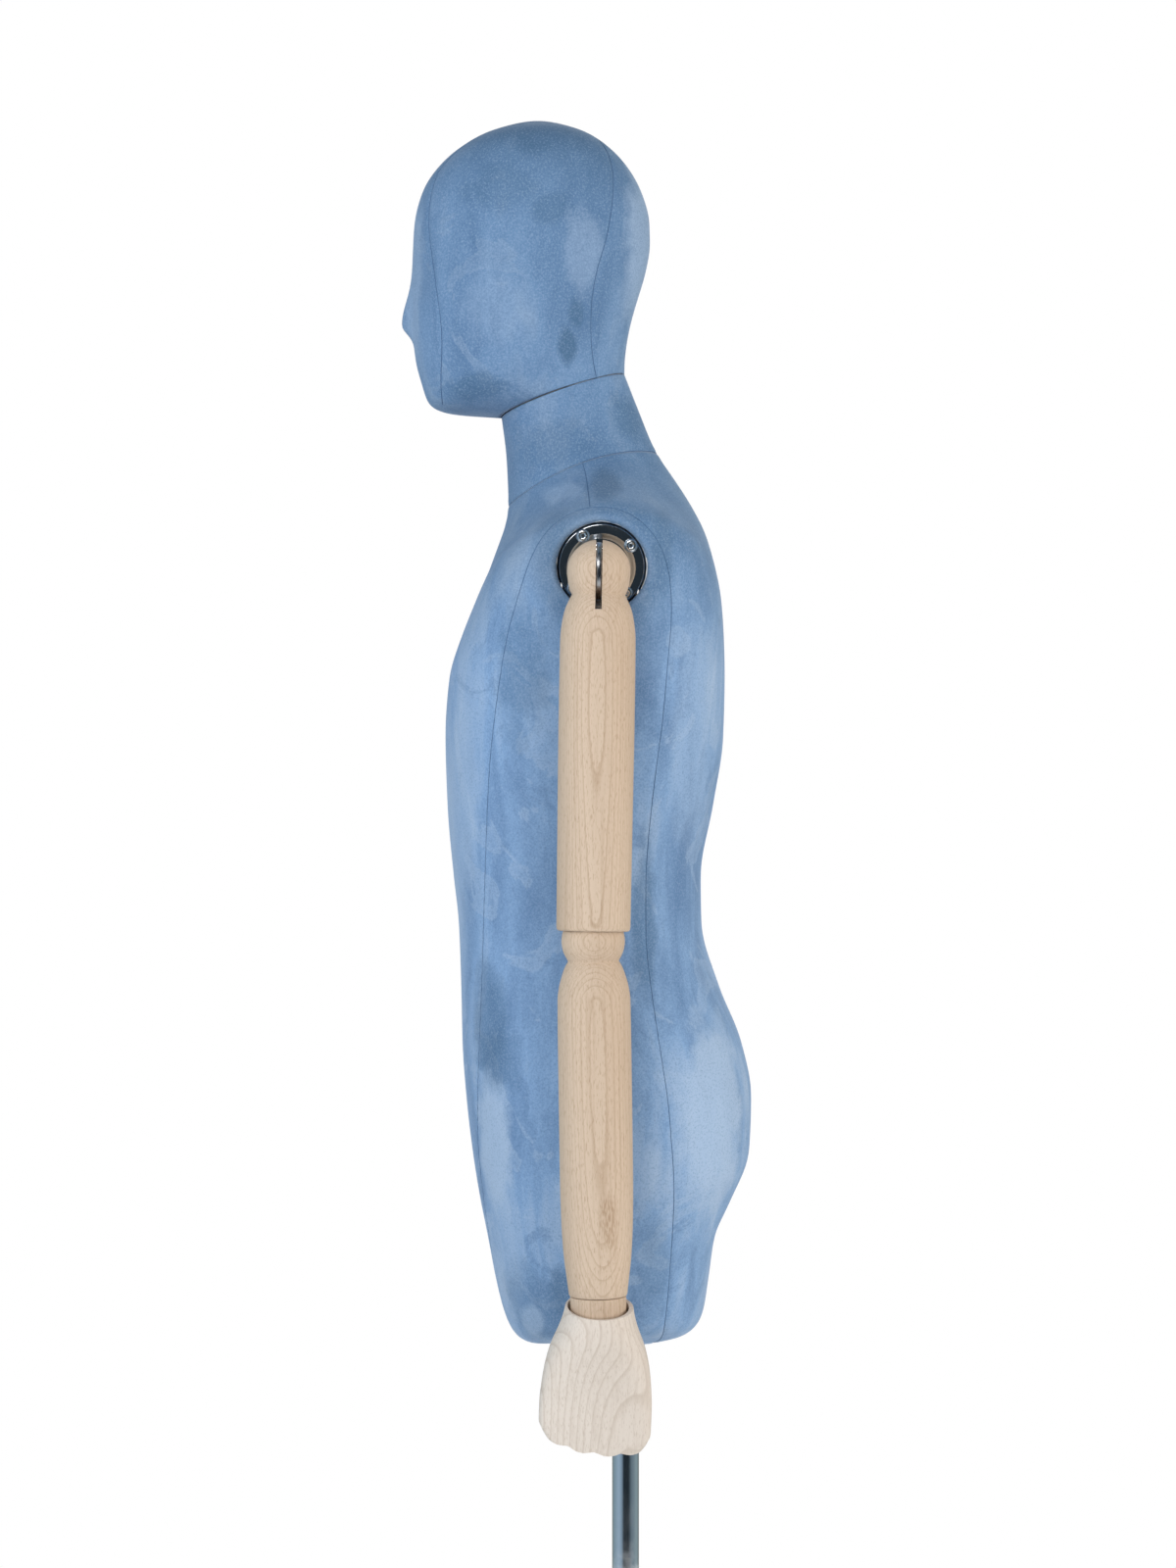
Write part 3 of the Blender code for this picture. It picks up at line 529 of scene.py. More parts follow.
class Recipe:
    """Short way to build a node material."""

    def __init__(self, name, roughness=0.5, metallic=0.0, **inputs):
        self.material = bpy.data.materials.new(name)
        self.material.use_nodes = True
        self.nodes = self.material.node_tree.nodes
        self.links = self.material.node_tree.links
        self.shader = self.nodes["Principled BSDF"]
        self.shader.inputs["Roughness"].default_value = roughness
        self.shader.inputs["Metallic"].default_value = metallic
        for key, value in inputs.items():
            self.shader.inputs[key.replace("_", " ")].default_value = value
        self.place = self.nodes.new("ShaderNodeTexCoord").outputs["Object"]

    def vector_math(self, operation, *values, output=0):
        inputs = dict(enumerate(values))
        return self.node("VectorMath", inputs, operation=operation).outputs[output]

    def node(self, kind, inputs=(), **settings):
        node = self.nodes.new(f"ShaderNode{kind}")
        for key, value in settings.items():
            setattr(node, key, value)
        for key, value in dict(inputs).items():
            if isinstance(value, bpy.types.NodeSocket):
                self.links.new(value, node.inputs[key])
            else:
                node.inputs[key].default_value = value
        return node

    def mapped(self, scale=(1, 1, 1), turn=(0, 0, 0), shift=(0, 0, 0)):
        return self.node("Mapping", {"Vector": self.place, "Scale": scale, "Rotation": turn,
                                               "Location": shift}).outputs[0]

    def noise(self, scale, detail=3.0, stretch=(1, 1, 1), roughness=0.5, distortion=0.0, shift=(0, 0, 0)):
        vector = self.mapped(stretch, shift=shift)
        return self.node("TexNoise", {"Vector": vector, "Scale": scale, "Detail": detail,
                                                "Roughness": roughness,
                                                "Distortion": distortion}).outputs["Fac"]

    def ramp(self, value, *stops):
        """Map a value through (position, grey or colour) stops."""
        ramp = self.node("ValToRGB", {"Fac": value})
        set_stops(ramp, stops)
        return ramp.outputs["Color"]

    def mix(self, share, first, second):
        mix = self.node("Mix", data_type="RGBA")
        for key, value in ((0, share), (6, first), (7, second)):
            if isinstance(value, bpy.types.NodeSocket):
                self.links.new(value, mix.inputs[key])
            else:
                mix.inputs[key].default_value = (*value, 1) if isinstance(value, tuple) else value
        return mix.outputs[2]

    def math(self, operation, first, second=0.0, third=0.0):
        return self.node("Math", {0: first, 1: second, 2: third}, operation=operation).outputs[0]

    def blot(self, centre, size, strength):
        """Strength in the middle of a soft uneven blot, 0 beyond its size."""
        scale = tuple(1 / (extent * UNIT) for extent in size)
        place = self.mapped(scale, shift=tuple(-at / extent for at, extent in zip(centre, size)))
        wobble = self.node("TexNoise", {"Vector": self.place, "Scale": 34.0, "Detail": 6.0,
                                                  "Roughness": 0.62}).outputs["Color"]
        place = self.vector_math("MULTIPLY_ADD", wobble, (1.1, 1.1, 1.1), place)
        place = self.vector_math("SUBTRACT", place, (0.55, 0.55, 0.55))
        length = self.vector_math("LENGTH", place, output="Value")
        return self.ramp(length, (0.55, strength), (0.95, 0.0))

    def armhole_painted_shade(self):
        """Painted shade: a darker band of pile round both armholes, just outside the holes."""
        place = self.mapped((0, 1, 1), shift=(0, -ARMHOLE_CENTRE[0] * UNIT, -ARMHOLE_CENTRE[1] * UNIT))
        share = self.math("MULTIPLY", self.vector_math("LENGTH", place, output="Value"), 10.0)
        return self.ramp(share, (0.37, 0.0), (0.405, 0.42), (0.47, 0.34), (0.58, 0.0))

    def bump(self, height, distance, strength=1.0, normal=None):
        inputs = {"Height": height, "Distance": distance * UNIT, "Strength": strength}
        if normal:
            inputs["Normal"] = normal
        return self.node("Bump", inputs).outputs[0]

    def done(self, colour=None, roughness=None, normal=None):
        for key, value in (("Base Color", colour), ("Roughness", roughness), ("Normal", normal)):
            if isinstance(value, tuple):
                self.shader.inputs[key].default_value = (*value, 1)
            elif value is not None:
                self.links.new(value, self.shader.inputs[key])
        return self.material


# Soft blots where the velvet's pile lies another way, and painted light and shade such as the darker crown
# and the painted shade under the jaw:
# centre and size in millimetres, and how much darker (below 0) or lighter they are.
PILE_AND_PAINTED_LIGHT_BLOTS = [
    ((0, -78, 1788), (95, 85, 46), -0.75), ((75, -61, 1713), (40, 22, 17), -0.5),
    ((70, -40, 1634), (30, 9, 14), -0.7), ((65, -47, 1608), (30, 10, 22), -0.85),
    ((60, -122, 1578), (60, 34, 13), -0.6), ((0, -172, 1690), (60, 15, 110), 0.35),
    ((0, 8, 1690), (70, 26, 90), 0.5), ((60, -104, 1640), (40, 34, 36), 0.16),
    ((70, -34, 1680), (40, 20, 44), 0.28), ((60, -100, 1730), (40, 40, 26), -0.4),
    ((50, 6, 1560), (50, 22, 30), -0.6), ((60, -60, 1530), (60, 40, 26), -0.35),
    ((90, -18, 1493), (60, 18, 25), -0.9), ((90, -52, 1490), (60, 22, 14), 0.3),
    ((125, -56, 1452), (60, 20, 40), -0.35), ((120, 26, 1440), (60, 12, 50), -0.55),
    ((107, -107, 1076), (60, 20, 60), -0.55), ((107, -95, 1050), (60, 26, 30), -0.4),
    ((107, -103, 985), (60, 20, 66), 0.85), ((110, -66, 856), (60, 52, 46), -0.4),
    ((115, -73, 846), (60, 12, 20), 0.5),
    ((118, -94, 840), (60, 11, 15), 0.75), ((110, -50, 880), (60, 14, 30), -0.5),
    ((120, 64, 1010), (110, 40, 90), 0.8), ((120, 50, 1290), (90, 22, 120), 0.25),
    ((110, 12, 1150), (60, 12, 90), -0.5), ((110, 20, 900), (60, 18, 60), -0.3),
    ((120, -128, 1240), (60, 16, 120), 0.45), ((115, -80, 1350), (80, 28, 75), -0.5),
    ((-110, -70, 1250), (70, 30, 90), -0.4), ((-110, 40, 980), (70, 40, 60), 0.6),
    ((-60, -40, 1660), (50, 40, 50), 0.4), ((0, -140, 1330), (60, 40, 70), -0.3),
    ((40, -140, 1200), (60, 40, 120), 0.35),
]


def velvet_material():
    recipe = Recipe("velvet", roughness=0.92, Sheen_Weight=0.26, Sheen_Roughness=0.34,
                    Sheen_Tint=(0.78, 0.87, 1.0, 1), Specular_IOR_Level=0.15)
    deep, dark = (0.072, 0.145, 0.250), (0.130, 0.230, 0.400)
    middle, light = (0.225, 0.362, 0.575), (0.400, 0.512, 0.670)
    clouds = recipe.noise(7.0, 3, stretch=(1, 1, 0.55), distortion=0.6)
    strokes = recipe.noise(30.0, 4, stretch=(1, 1, 0.26), roughness=0.62, distortion=0.5)
    smudges = recipe.noise(17.0, 5, roughness=0.68, distortion=1.5, shift=(3.1, 1.7, 0.4))
    prints = recipe.noise(11.0, 4, roughness=0.6, distortion=2.2, shift=(0.6, 4.1, 2.2))
    brushed = recipe.math("MULTIPLY_ADD", clouds, 0.55, recipe.math("MULTIPLY", strokes, 0.45))
    colour = recipe.ramp(brushed, (0.36, dark), (0.5, middle), (0.66, light))
    colour = recipe.mix(recipe.ramp(smudges, (0.57, 0.0), (0.64, 0.42)), colour, dark)
    colour = recipe.mix(recipe.ramp(prints, (0.585, 0.0), (0.61, 0.34), (0.70, 0.16)), colour, light)
    height = recipe.node("SeparateXYZ", {"Vector": recipe.place}).outputs["Z"]
    shade = recipe.ramp(recipe.math("MULTIPLY", height, 0.5), (0.675, 0.0), (0.735, 0.6), (0.765, 0.62),
                        (0.80, 0.36), (0.86, 0.5), (0.895, 0.85))
    colour = recipe.mix(shade, colour, deep)
    # Pile patches, and painted shade and light where the blots stand for the darker crown and the shade under
    # the jaw
    for centre, size, change in PILE_AND_PAINTED_LIGHT_BLOTS:
        share = recipe.blot(centre, size, abs(change))
        colour = recipe.mix(share, colour, deep if change < 0 else light)
    # Painted shade in a band round each armhole
    colour = recipe.mix(recipe.armhole_painted_shade(), colour, deep)
    lint = recipe.noise(650.0, 3, roughness=0.7)
    colour = recipe.mix(recipe.ramp(lint, (0.50, 0.0), (0.70, 0.30)), colour, light)
    colour = recipe.mix(recipe.ramp(lint, (0.32, 0.34), (0.50, 0.0)), colour, deep)
    pile = recipe.noise(1500.0, 2, stretch=(1, 1, 0.6))
    normal = recipe.bump(pile, 0.25, 0.55)
    normal = recipe.bump(smudges, 0.5, 0.35, normal)
    return recipe.done(colour, None, normal)


def seam_material():
    recipe = Recipe("seam_thread", roughness=0.9)
    colour = recipe.ramp(recipe.noise(900.0, 2), (0.3, (0.058, 0.115, 0.215)), (0.7, (0.085, 0.16, 0.29)))
    return recipe.done(colour)


def wood_material(name, light, dark, line, pith, period, boldness, lean=0.012, stain=None):
    """Beech: growth rings about a pith line, short dark flecks, fine pores and maybe a stain."""
    recipe = Recipe(name, roughness=0.56, Specular_IOR_Level=0.35, Coat_Weight=0.0)
    wander = recipe.noise(7.0, 3, stretch=(1, 1, 0.3))
    wave_place = recipe.mapped(shift=tuple(-value * UNIT for value in pith), turn=(lean, 0.004, 0))
    drift = recipe.node("CombineXYZ", {"X": recipe.math("MULTIPLY", wander, 0.0045),
                                                 "Y": recipe.math("MULTIPLY", wander, 0.0025)}).outputs[0]
    moved = recipe.vector_math("ADD", wave_place, drift)
    rings = recipe.node("TexWave",
                        {"Vector": moved, "Scale": 2 * math.pi / (20 * period * UNIT), "Distortion": 0.5,
                         "Detail": 1.0, "Detail Scale": 0.8},
                        wave_type="RINGS", rings_direction="Z", wave_profile="SAW").outputs["Fac"]
    tone_noise = recipe.noise(14.0, 3, stretch=(1, 1, 0.12))
    base = recipe.ramp(tone_noise, (0.3, dark), (0.7, light))
    late = recipe.ramp(rings, (0.0, 0.0), (0.72, 0.12), (0.93, 0.85), (1.0, 0.0))
    colour = recipe.mix(recipe.mix(boldness, (0.0, 0.0, 0.0), late), base, line)
    flecks = recipe.noise(1250.0, 1, stretch=(1, 1, 0.17))
    colour = recipe.mix(recipe.ramp(flecks, (0.56, 0.0), (0.70, 0.5)), colour, line)
    streaks = recipe.noise(420.0, 2, stretch=(1, 1, 0.02))
    colour = recipe.mix(recipe.ramp(streaks, (0.50, 0.0), (0.70, 0.24)), colour, line)
    if stain:
        share = recipe.math("MULTIPLY", recipe.blot(*stain), recipe.ramp(flecks, (0.4, 0.25), (0.6, 1.0)))
        colour = recipe.mix(share, colour, line)
    pores = recipe.noise(1500.0, 1, stretch=(1, 1, 0.25))
    normal = recipe.bump(recipe.math("ADD", pores, recipe.math("MULTIPLY", rings, 0.5)), 0.05, 0.5)
    roughness = recipe.ramp(tone_noise, (0.2, 0.5), (0.8, 0.64))
    return recipe.done(colour, roughness, normal)


def chrome_material(name="chrome", tint=(0.82, 0.84, 0.86), roughness=0.07):
    recipe = Recipe(name, roughness=roughness, metallic=1.0)
    wear = recipe.noise(60.0, 4, roughness=0.65)
    rough = recipe.ramp(wear, (0.35, roughness * 0.7), (0.75, roughness * 2.2))
    normal = recipe.bump(recipe.noise(900.0, 2), 0.02, 0.15)
    return recipe.done(tint, rough, normal)


def steel_material():
    recipe = Recipe("steel", roughness=0.3, metallic=1.0)
    brush = recipe.noise(300.0, 3, stretch=(1, 1, 0.08))
    colour = recipe.ramp(brush, (0.3, (0.42, 0.43, 0.45)), (0.7, (0.62, 0.63, 0.65)))
    rough = recipe.ramp(brush, (0.3, 0.2), (0.7, 0.4))
    return recipe.done(colour, rough, recipe.bump(brush, 0.03, 0.3))


def brass_material():
    recipe = Recipe("brass", roughness=0.3, metallic=1.0)
    stain = recipe.noise(180.0, 4)
    colour = recipe.ramp(stain, (0.3, (0.42, 0.27, 0.09)), (0.7, (0.72, 0.52, 0.22)))
    return recipe.done(colour, recipe.ramp(stain, (0.3, 0.45), (0.7, 0.25)))


def rubber_material():
    recipe = Recipe("rubber", roughness=0.85, Specular_IOR_Level=0.3)
    grain = recipe.noise(700.0, 3)
    colour = recipe.ramp(grain, (0.3, (0.028, 0.028, 0.03)), (0.7, (0.05, 0.05, 0.052)))
    return recipe.done(colour, None, recipe.bump(grain, 0.08, 0.6))


def plastic_material():
    recipe = Recipe("black_plastic", roughness=0.42)
    grain = recipe.noise(1100.0, 2)
    colour = recipe.ramp(recipe.noise(40.0, 3), (0.3, (0.018, 0.018, 0.02)), (0.7, (0.032, 0.032, 0.034)))
    return recipe.done(colour, recipe.ramp(grain, (0.3, 0.36), (0.7, 0.5)), recipe.bump(grain, 0.05, 0.5))


def fibreglass_material():
    recipe = Recipe("fibreglass", roughness=0.6)
    strands = recipe.noise(90.0, 5, distortion=2.5)
    colour = recipe.ramp(strands, (0.35, (0.62, 0.60, 0.54)), (0.65, (0.78, 0.76, 0.71)))
    return recipe.done(colour, None, recipe.bump(strands, 0.4, 0.5))


def plywood_material():
    recipe = Recipe("plywood", roughness=0.6)
    grain = recipe.noise(60.0, 4, stretch=(1, 0.1, 1))
    colour = recipe.ramp(grain, (0.3, (0.50, 0.36, 0.22)), (0.7, (0.68, 0.53, 0.36)))
    return recipe.done(colour, None, recipe.bump(grain, 0.1, 0.4))


def make_materials():
    light, dark, line = (0.66, 0.52, 0.395), (0.56, 0.42, 0.305), (0.38, 0.25, 0.155)
    return {
        "velvet": velvet_material(),
        "thread": seam_material(),
        "beech": wood_material("beech", light, dark, line, (-70, 1, 0), 1.25, 0.6),
        "forearm_beech": wood_material("forearm_beech", light, dark, line, (-52, -3, 0), 1.4, 0.5,
                                       stain=((24, 8, -204), (30, 9, 24), 0.7)),
        "pale_beech": wood_material("pale_beech", (0.74, 0.66, 0.585), (0.68, 0.59, 0.51),
                                    (0.50, 0.40, 0.32), (-10, 20, 0), 4.0, 0.6, lean=-0.05),
        "chrome": chrome_material(),
        "screw_chrome": chrome_material("screw_chrome", (0.93, 0.94, 0.95), 0.16),
        "steel": steel_material(),
        "brass": brass_material(),
        "rubber": rubber_material(),
        "plastic": plastic_material(),
        "fibreglass": fibreglass_material(),
        "plywood": plywood_material(),
    }


# ------------------------------------------------------------------ frame look-ups

def joint_named(name):
    return next(joint for joint in frame["joints"] if joint["name"] == name)


def joint_place(name):
    """A joint's point in millimetres."""
    return Vector(joint_named(name)["pos_m"]) / UNIT


def joint_axis(name):
    return Vector(joint_named(name)["axis"]).normalized()


def frame_at(origin, up, across):
    """Frame with its Z along up and its Y as near as possible to across, at a point in mm."""
    z = Vector(up).normalized()
    y = Vector(across)
    y = (y - z * y.dot(z)).normalized()
    x = y.cross(z)
    matrix = Matrix((x, y, z)).transposed().to_4x4()
    return Matrix.Translation(Vector(origin) * UNIT) @ matrix


def belongs(item, body, node=None):
    """Let a piece ride on a body, in place of a CAD node."""
    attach(item, body)
    if node:
        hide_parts(node)


def round_spot(centre, radius, degrees):
    """Point (across, up) on a circle about a centre."""
    turn = math.radians(degrees)
    return centre[0] + radius * math.cos(turn), centre[1] + radius * math.sin(turn)


# ------------------------------------------------------------------ the velvet cover

def on_surface(tree, points, side):
    """Put (y, z) points on the outside of the body by looking in along X."""
    hits = []
    for y, z in points:
        place = tree.ray_cast(Vector((400 * side, y, z)), Vector((-side, 0, 0)))[0]
        if place is not None:
            hits.append(tuple(place))
    return np.array(hits)


def surface_tree(grid):
    rows, columns = grid.shape[:2]
    points = [Vector(point) for point in grid.reshape(-1, 3)]
    return BVHTree.FromPolygons(points, grid_faces(rows, columns))


def carve_seams(grid, normals, seams):
    """Sink a fine valley along each seam and raise the cloth a little beside it."""
    points = np.concatenate([curve_through(seam, 1.0) for seam in seams])
    tree = KDTree(len(points))
    for index, point in enumerate(points):
        tree.insert(point, index)
    tree.balance()
    flat = grid.reshape(-1, 3)
    low, high = points.min(0) - SEAM_REACH, points.max(0) + SEAM_REACH
    near = np.where(np.all((flat > low) & (flat < high), axis=1))[0]
    depth = np.zeros(len(flat))
    for index in near:
        distance = tree.find(flat[index])[2]
        if distance < SEAM_REACH:
            pucker = PUCKER_HEIGHT * math.exp(-((distance - PUCKER_DISTANCE) / PUCKER_WIDTH) ** 2)
            depth[index] = pucker - SEAM_DEPTH * math.exp(-(distance / SEAM_HALF_WIDTH) ** 2)
    return grid + normals * depth.reshape(grid.shape[0], -1, 1)


def roll_armhole(grid, tree, side):
    """Wrap the cloth round the armhole's edge and down its wall; tell which points fall away."""
    y0, z0 = ARMHOLE_CENTRE
    offset_y, offset_z = grid[..., 1] - y0, grid[..., 2] - z0
    radius = np.hypot(offset_y, offset_z)
    zone = (grid[..., 0] * side > 60) & (radius < ROLL_REACH)
    dropped = zone & (radius < ROLL_START)
    bottom = plate_face - ROLL_DEPTH
    for row, column in zip(*np.where(zone & ~dropped)):
        share = (radius[row, column] - ROLL_START) / (ROLL_REACH - ROLL_START)
        direction = np.array([offset_y[row, column], offset_z[row, column]]) / radius[row, column]
        edge = np.array([y0, z0]) + direction * (ARMHOLE_RADIUS + ROLL_RADIUS)
        rim = on_surface(tree, [edge], side)[0, 0] * side
        if share < WALL_SHARE:
            out = ARMHOLE_RADIUS
            height = bottom + (rim - ROLL_RADIUS - bottom) * share / WALL_SHARE
        elif share < EDGE_SHARE:
            angle = math.pi / 2 * (share - WALL_SHARE) / (EDGE_SHARE - WALL_SHARE)
            out = ARMHOLE_RADIUS + ROLL_RADIUS * (1 - math.cos(angle))
            height = rim - ROLL_RADIUS * (1 - math.sin(angle))
        else:
            out = ARMHOLE_RADIUS + ROLL_RADIUS
            out += (ROLL_REACH - out) * (share - EDGE_SHARE) / (1 - EDGE_SHARE)
            spot = np.array([y0, z0]) + direction * out
            height = on_surface(tree, [spot], side)[0, 0] * side
        spot = np.array([y0, z0]) + direction * out
        grid[row, column] = (side * height, *spot)
    return dropped


def cover_piece(name, grid, rows, dropped, material, thickness=COVER_THICKNESS):
    """A skin from some rows of the grid, thickened inwards, with its dropped quads left out."""
    first, last = rows
    part = grid[first:last]
    columns = part.shape[1]
    faces = grid_faces(last - first, columns)
    if dropped is not None:
        gone = dropped[first:last].reshape(-1)
        faces = [face for face in faces if not any(gone[index] for index in face)]
    item = new_object(name, mesh_of(name, part.reshape(-1, 3), faces), material)
    shape = bmesh.new()
    shape.from_mesh(item.data)
    bmesh.ops.remove_doubles(shape, verts=shape.verts, dist=1e-6)
    loose = [vertex for vertex in shape.verts if not vertex.link_faces]
    bmesh.ops.delete(shape, geom=loose, context="VERTS")
    if dropped is not None:
        settle_hole_edge(shape)
    bmesh.ops.recalc_face_normals(shape, faces=shape.faces)
    shape.to_mesh(item.data)
    shape.free()
    wall = item.modifiers.new("Wall", "SOLIDIFY")
    wall.thickness = thickness * UNIT
    wall.offset = -1
    applied(item)
    item.data.shade_smooth()
    return item


def settle_hole_edge(shape):
    """Bring the armholes' cut edges onto clean circles behind the plates' faces."""
    y0, z0 = ARMHOLE_CENTRE
    for vertex in shape.verts:
        if not vertex.is_boundary:
            continue
        offset = Vector((vertex.co.y / UNIT - y0, vertex.co.z / UNIT - z0))
        if abs(vertex.co.x) / UNIT > 60 and offset.length < ROLL_REACH:
            offset = offset.normalized() * ARMHOLE_RADIUS
            height = math.copysign(plate_face - ROLL_DEPTH, vertex.co.x)
            vertex.co = Vector((height, y0 + offset[0], z0 + offset[1])) * UNIT


def sew(name, seam, tree, body, mats):
    """Lay a seam's thread on the cloth."""
    path = [tuple(tree.find_nearest(Vector(point))[0]) for point in curve_through(seam, THREAD_STEP)]
    belongs(tube(name, path, THREAD_RADIUS, mats["thread"]), body)


def build_covers(mats):
    """The cloth of the neck and the torso, which meet at the neck seam."""
    stations = NECK_STATIONS + TORSO_STATIONS
    places, channels, knots = dense_stations(stations)
    channels[:, 1] = np.maximum(channels[:, 1], TORSO_BOTTOM)
    channels[:, 3] = np.maximum(channels[:, 3], TORSO_BOTTOM)
    last_neck = len(NECK_STATIONS) - 1
    split = knots[last_neck] + NECK_SEAM_SHARE * (knots[last_neck + 1] - knots[last_neck])
    neck_rows = int(split / RING_SPACING) + 1
    torso_rows = int((knots[-1] - split) / RING_SPACING) + 1
    wanted = np.concatenate([np.linspace(0, split, neck_rows),
                             np.linspace(split, knots[-1], torso_rows)[1:]])
    grid = station_rings(places, channels, wanted, BODY_COLUMNS)
    tree = surface_tree(grid)
    seams = []
    for _, side in SIDES:
        for points in (SIDE_PANEL_SEAM, SHOULDER_SEAM):
            seams.append(on_surface(tree, seam_path(points), side))
    neck_base = grid[neck_rows - 1]
    seams.append(np.concatenate([neck_base, neck_base[:1]]))
    grid = carve_seams(grid, grid_normals(grid), seams)
    tree = surface_tree(grid)
    dropped = np.zeros(grid.shape[:2], bool)
    for _, side in SIDES:
        dropped |= roll_armhole(grid, tree, side)
    neck = cover_piece("neck_velvet", grid, (0, neck_rows), None, mats["velvet"])
    torso = cover_piece("torso_velvet", grid, (neck_rows - 1, len(grid)), dropped, mats["velvet"])
    for node, item in (("neck_cover", neck), ("torso_cover", torso)):
        belongs(item, "torso", node)
    names = ("side_seam_left", "shoulder_seam_left", "side_seam_right", "shoulder_seam_right",
             "neck_seam")
    seams[-1] = seams[-1][:BODY_COLUMNS // 2 + 1]
    for name, seam in zip(names, seams):
        sew(name, seam, tree, "torso", mats)


def shape_face(grid):
    """Nose, shallow eye hollows and cheeks of a plain display head."""
    x, y, z = grid[..., 0], grid[..., 1], grid[..., 2]
    front = smooth_step(-120, -150, y)
    rise = z - NOSE_HEIGHT
    fall = np.where(rise > 0, np.exp(-(rise / 26) ** 2), np.exp(-(rise / 9.5) ** 2))
    width = 8.5 + np.clip(-rise, 0, 10) * 0.15
    nose = 9.0 * np.exp(-(x / width) ** 2) * fall
    eyes = 3.2 * np.exp(-((np.abs(x) - 31) / 17) ** 2 - ((z - EYE_HEIGHT) / 15) ** 2)
    cheeks = 1.2 * np.exp(-((np.abs(x) - 36) / 16) ** 2 - ((z - CHEEK_HEIGHT) / 16) ** 2)
    grid[..., 1] = y - front * (nose - eyes + cheeks)
    return grid


def build_head(mats):
    """The head's cloth and the form under it; the stations run on over the crown and down."""
    table = list(HEAD_STATIONS)
    for front, back, half, fullness, lift in HEAD_STATIONS[-2:-6:-1]:
        table.append((back, front, -half, fullness, lift))
    places, channels, knots = dense_stations(table)
    top = knots[len(HEAD_STATIONS) - 1]
    count = int(top / RING_SPACING)
    wanted = np.linspace(0, top, count)
    grid = station_rings(places, channels, wanted, HEAD_COLUMNS)
    grid[-1] = grid[-1].mean(0)
    grid = shape_face(grid)
    tree = surface_tree(grid)
    seams = []
    for _, side in SIDES:
        front = on_surface(tree, seam_path(HEAD_SIDE_SEAM), side)
        back = on_surface(tree, seam_path(HEAD_BACK_SEAM), side)
        crown = crown_line(tree, front[-1], back[0])
        seams.append(np.concatenate([front, crown, back]))
    outward = -grid_normals(grid)
    grid = carve_seams(grid, outward, seams)
    tree = surface_tree(grid)
    head = cover_piece("head_velvet", grid, (0, len(grid)), None, mats["velvet"])
    inner = (grid - outward * SHELL_DEPTH)[::3, ::3]
    shell = cover_piece("head_form", inner, (0, len(inner)), None, mats["fibreglass"], SHELL_THICKNESS)
    belongs(shell, "head", "head_shell")
    belongs(head, "head", "head_cover")
    for (suffix, _), seam in zip(SIDES, seams):
        sew(f"head_seam_{suffix}", seam, tree, "head", mats)


def crown_line(tree, start, end):
    """The head seam's way over the crown, looked up from inside the head."""
    inside = Vector(HEAD_MIDDLE)
    points = []
    for share in np.linspace(0, 1, 24)[1:-1]:
        spot = Vector(start) * (1 - share) + Vector(end) * share
        ray = (spot - inside).normalized()
        ray.z += 0.9 * math.sin(math.pi * share)
        hit = tree.ray_cast(inside, ray.normalized())[0]
        if hit is not None:
            points.append(tuple(hit))
    return np.array(points)


# ------------------------------------------------------------------ shoulders

def screw(name, place, mats):
    """Button-head screw with a hexagon socket, its axis along the frame's Z."""
    dome = [(0, 2.4), (2.9, 2.4), *arc((2.9, 0.2), 2.2, 80, 0, 6), (5.3, 0), (5.3, -0.6), (0, -0.6)]
    head = lathe(name, dome, 32, mats["screw_chrome"], place)
    hexagon = [round_spot((0, 0), 1.5, 60 * corner) for corner in range(6)]
    turned = place @ Matrix.Rotation(math.radians(-90), 4, "X") @ Matrix.Translation((0, -1.9 * UNIT, 0))
    return cut(head, slab(f"{name}_socket", hexagon, 1.3, None, turned))


def build_shoulder_plate(mats, suffix, side):
    """Pressed chrome cup in the armhole, held by four screws."""
    y0, z0 = ARMHOLE_CENTRE
    facing = frame_at((side * plate_face, y0, z0), (side, 0, 0), (0, 1, 0))
    radius = PLATE_RADIUS
    profile = eased([(0, 0.2), (14, 0.2), (17, -1.2), (22, -1.2), (25, 0), (radius, 0), (radius, -12),
                     (radius - 2, -12), (radius - 2, -3), (0, -3)], 1.1)
    plate = lathe(f"shoulder_cup_{suffix}", profile, 128, mats["chrome"], facing)
    centre = joint_place(f"shoulder_swing_{suffix}")
    hole = pin("hole", (side * plate_face, centre.y, centre.z), (1, 0, 0), SPINDLE_RADIUS + 0.6, 20,
               None, columns=40)
    cut(plate, hole)
    belongs(plate, "torso", f"shoulder_plate_{suffix}")
    for index, angle in enumerate(SCREW_ANGLES):
        spot = (side * plate_face, *round_spot(ARMHOLE_CENTRE, SCREW_CIRCLE, angle))
        item = screw(f"plate_screw_{index + 1}_{suffix}", frame_at(spot, (side, 0, 0), (0, 0.8, 0.6)), mats)
        belongs(item, "torso")


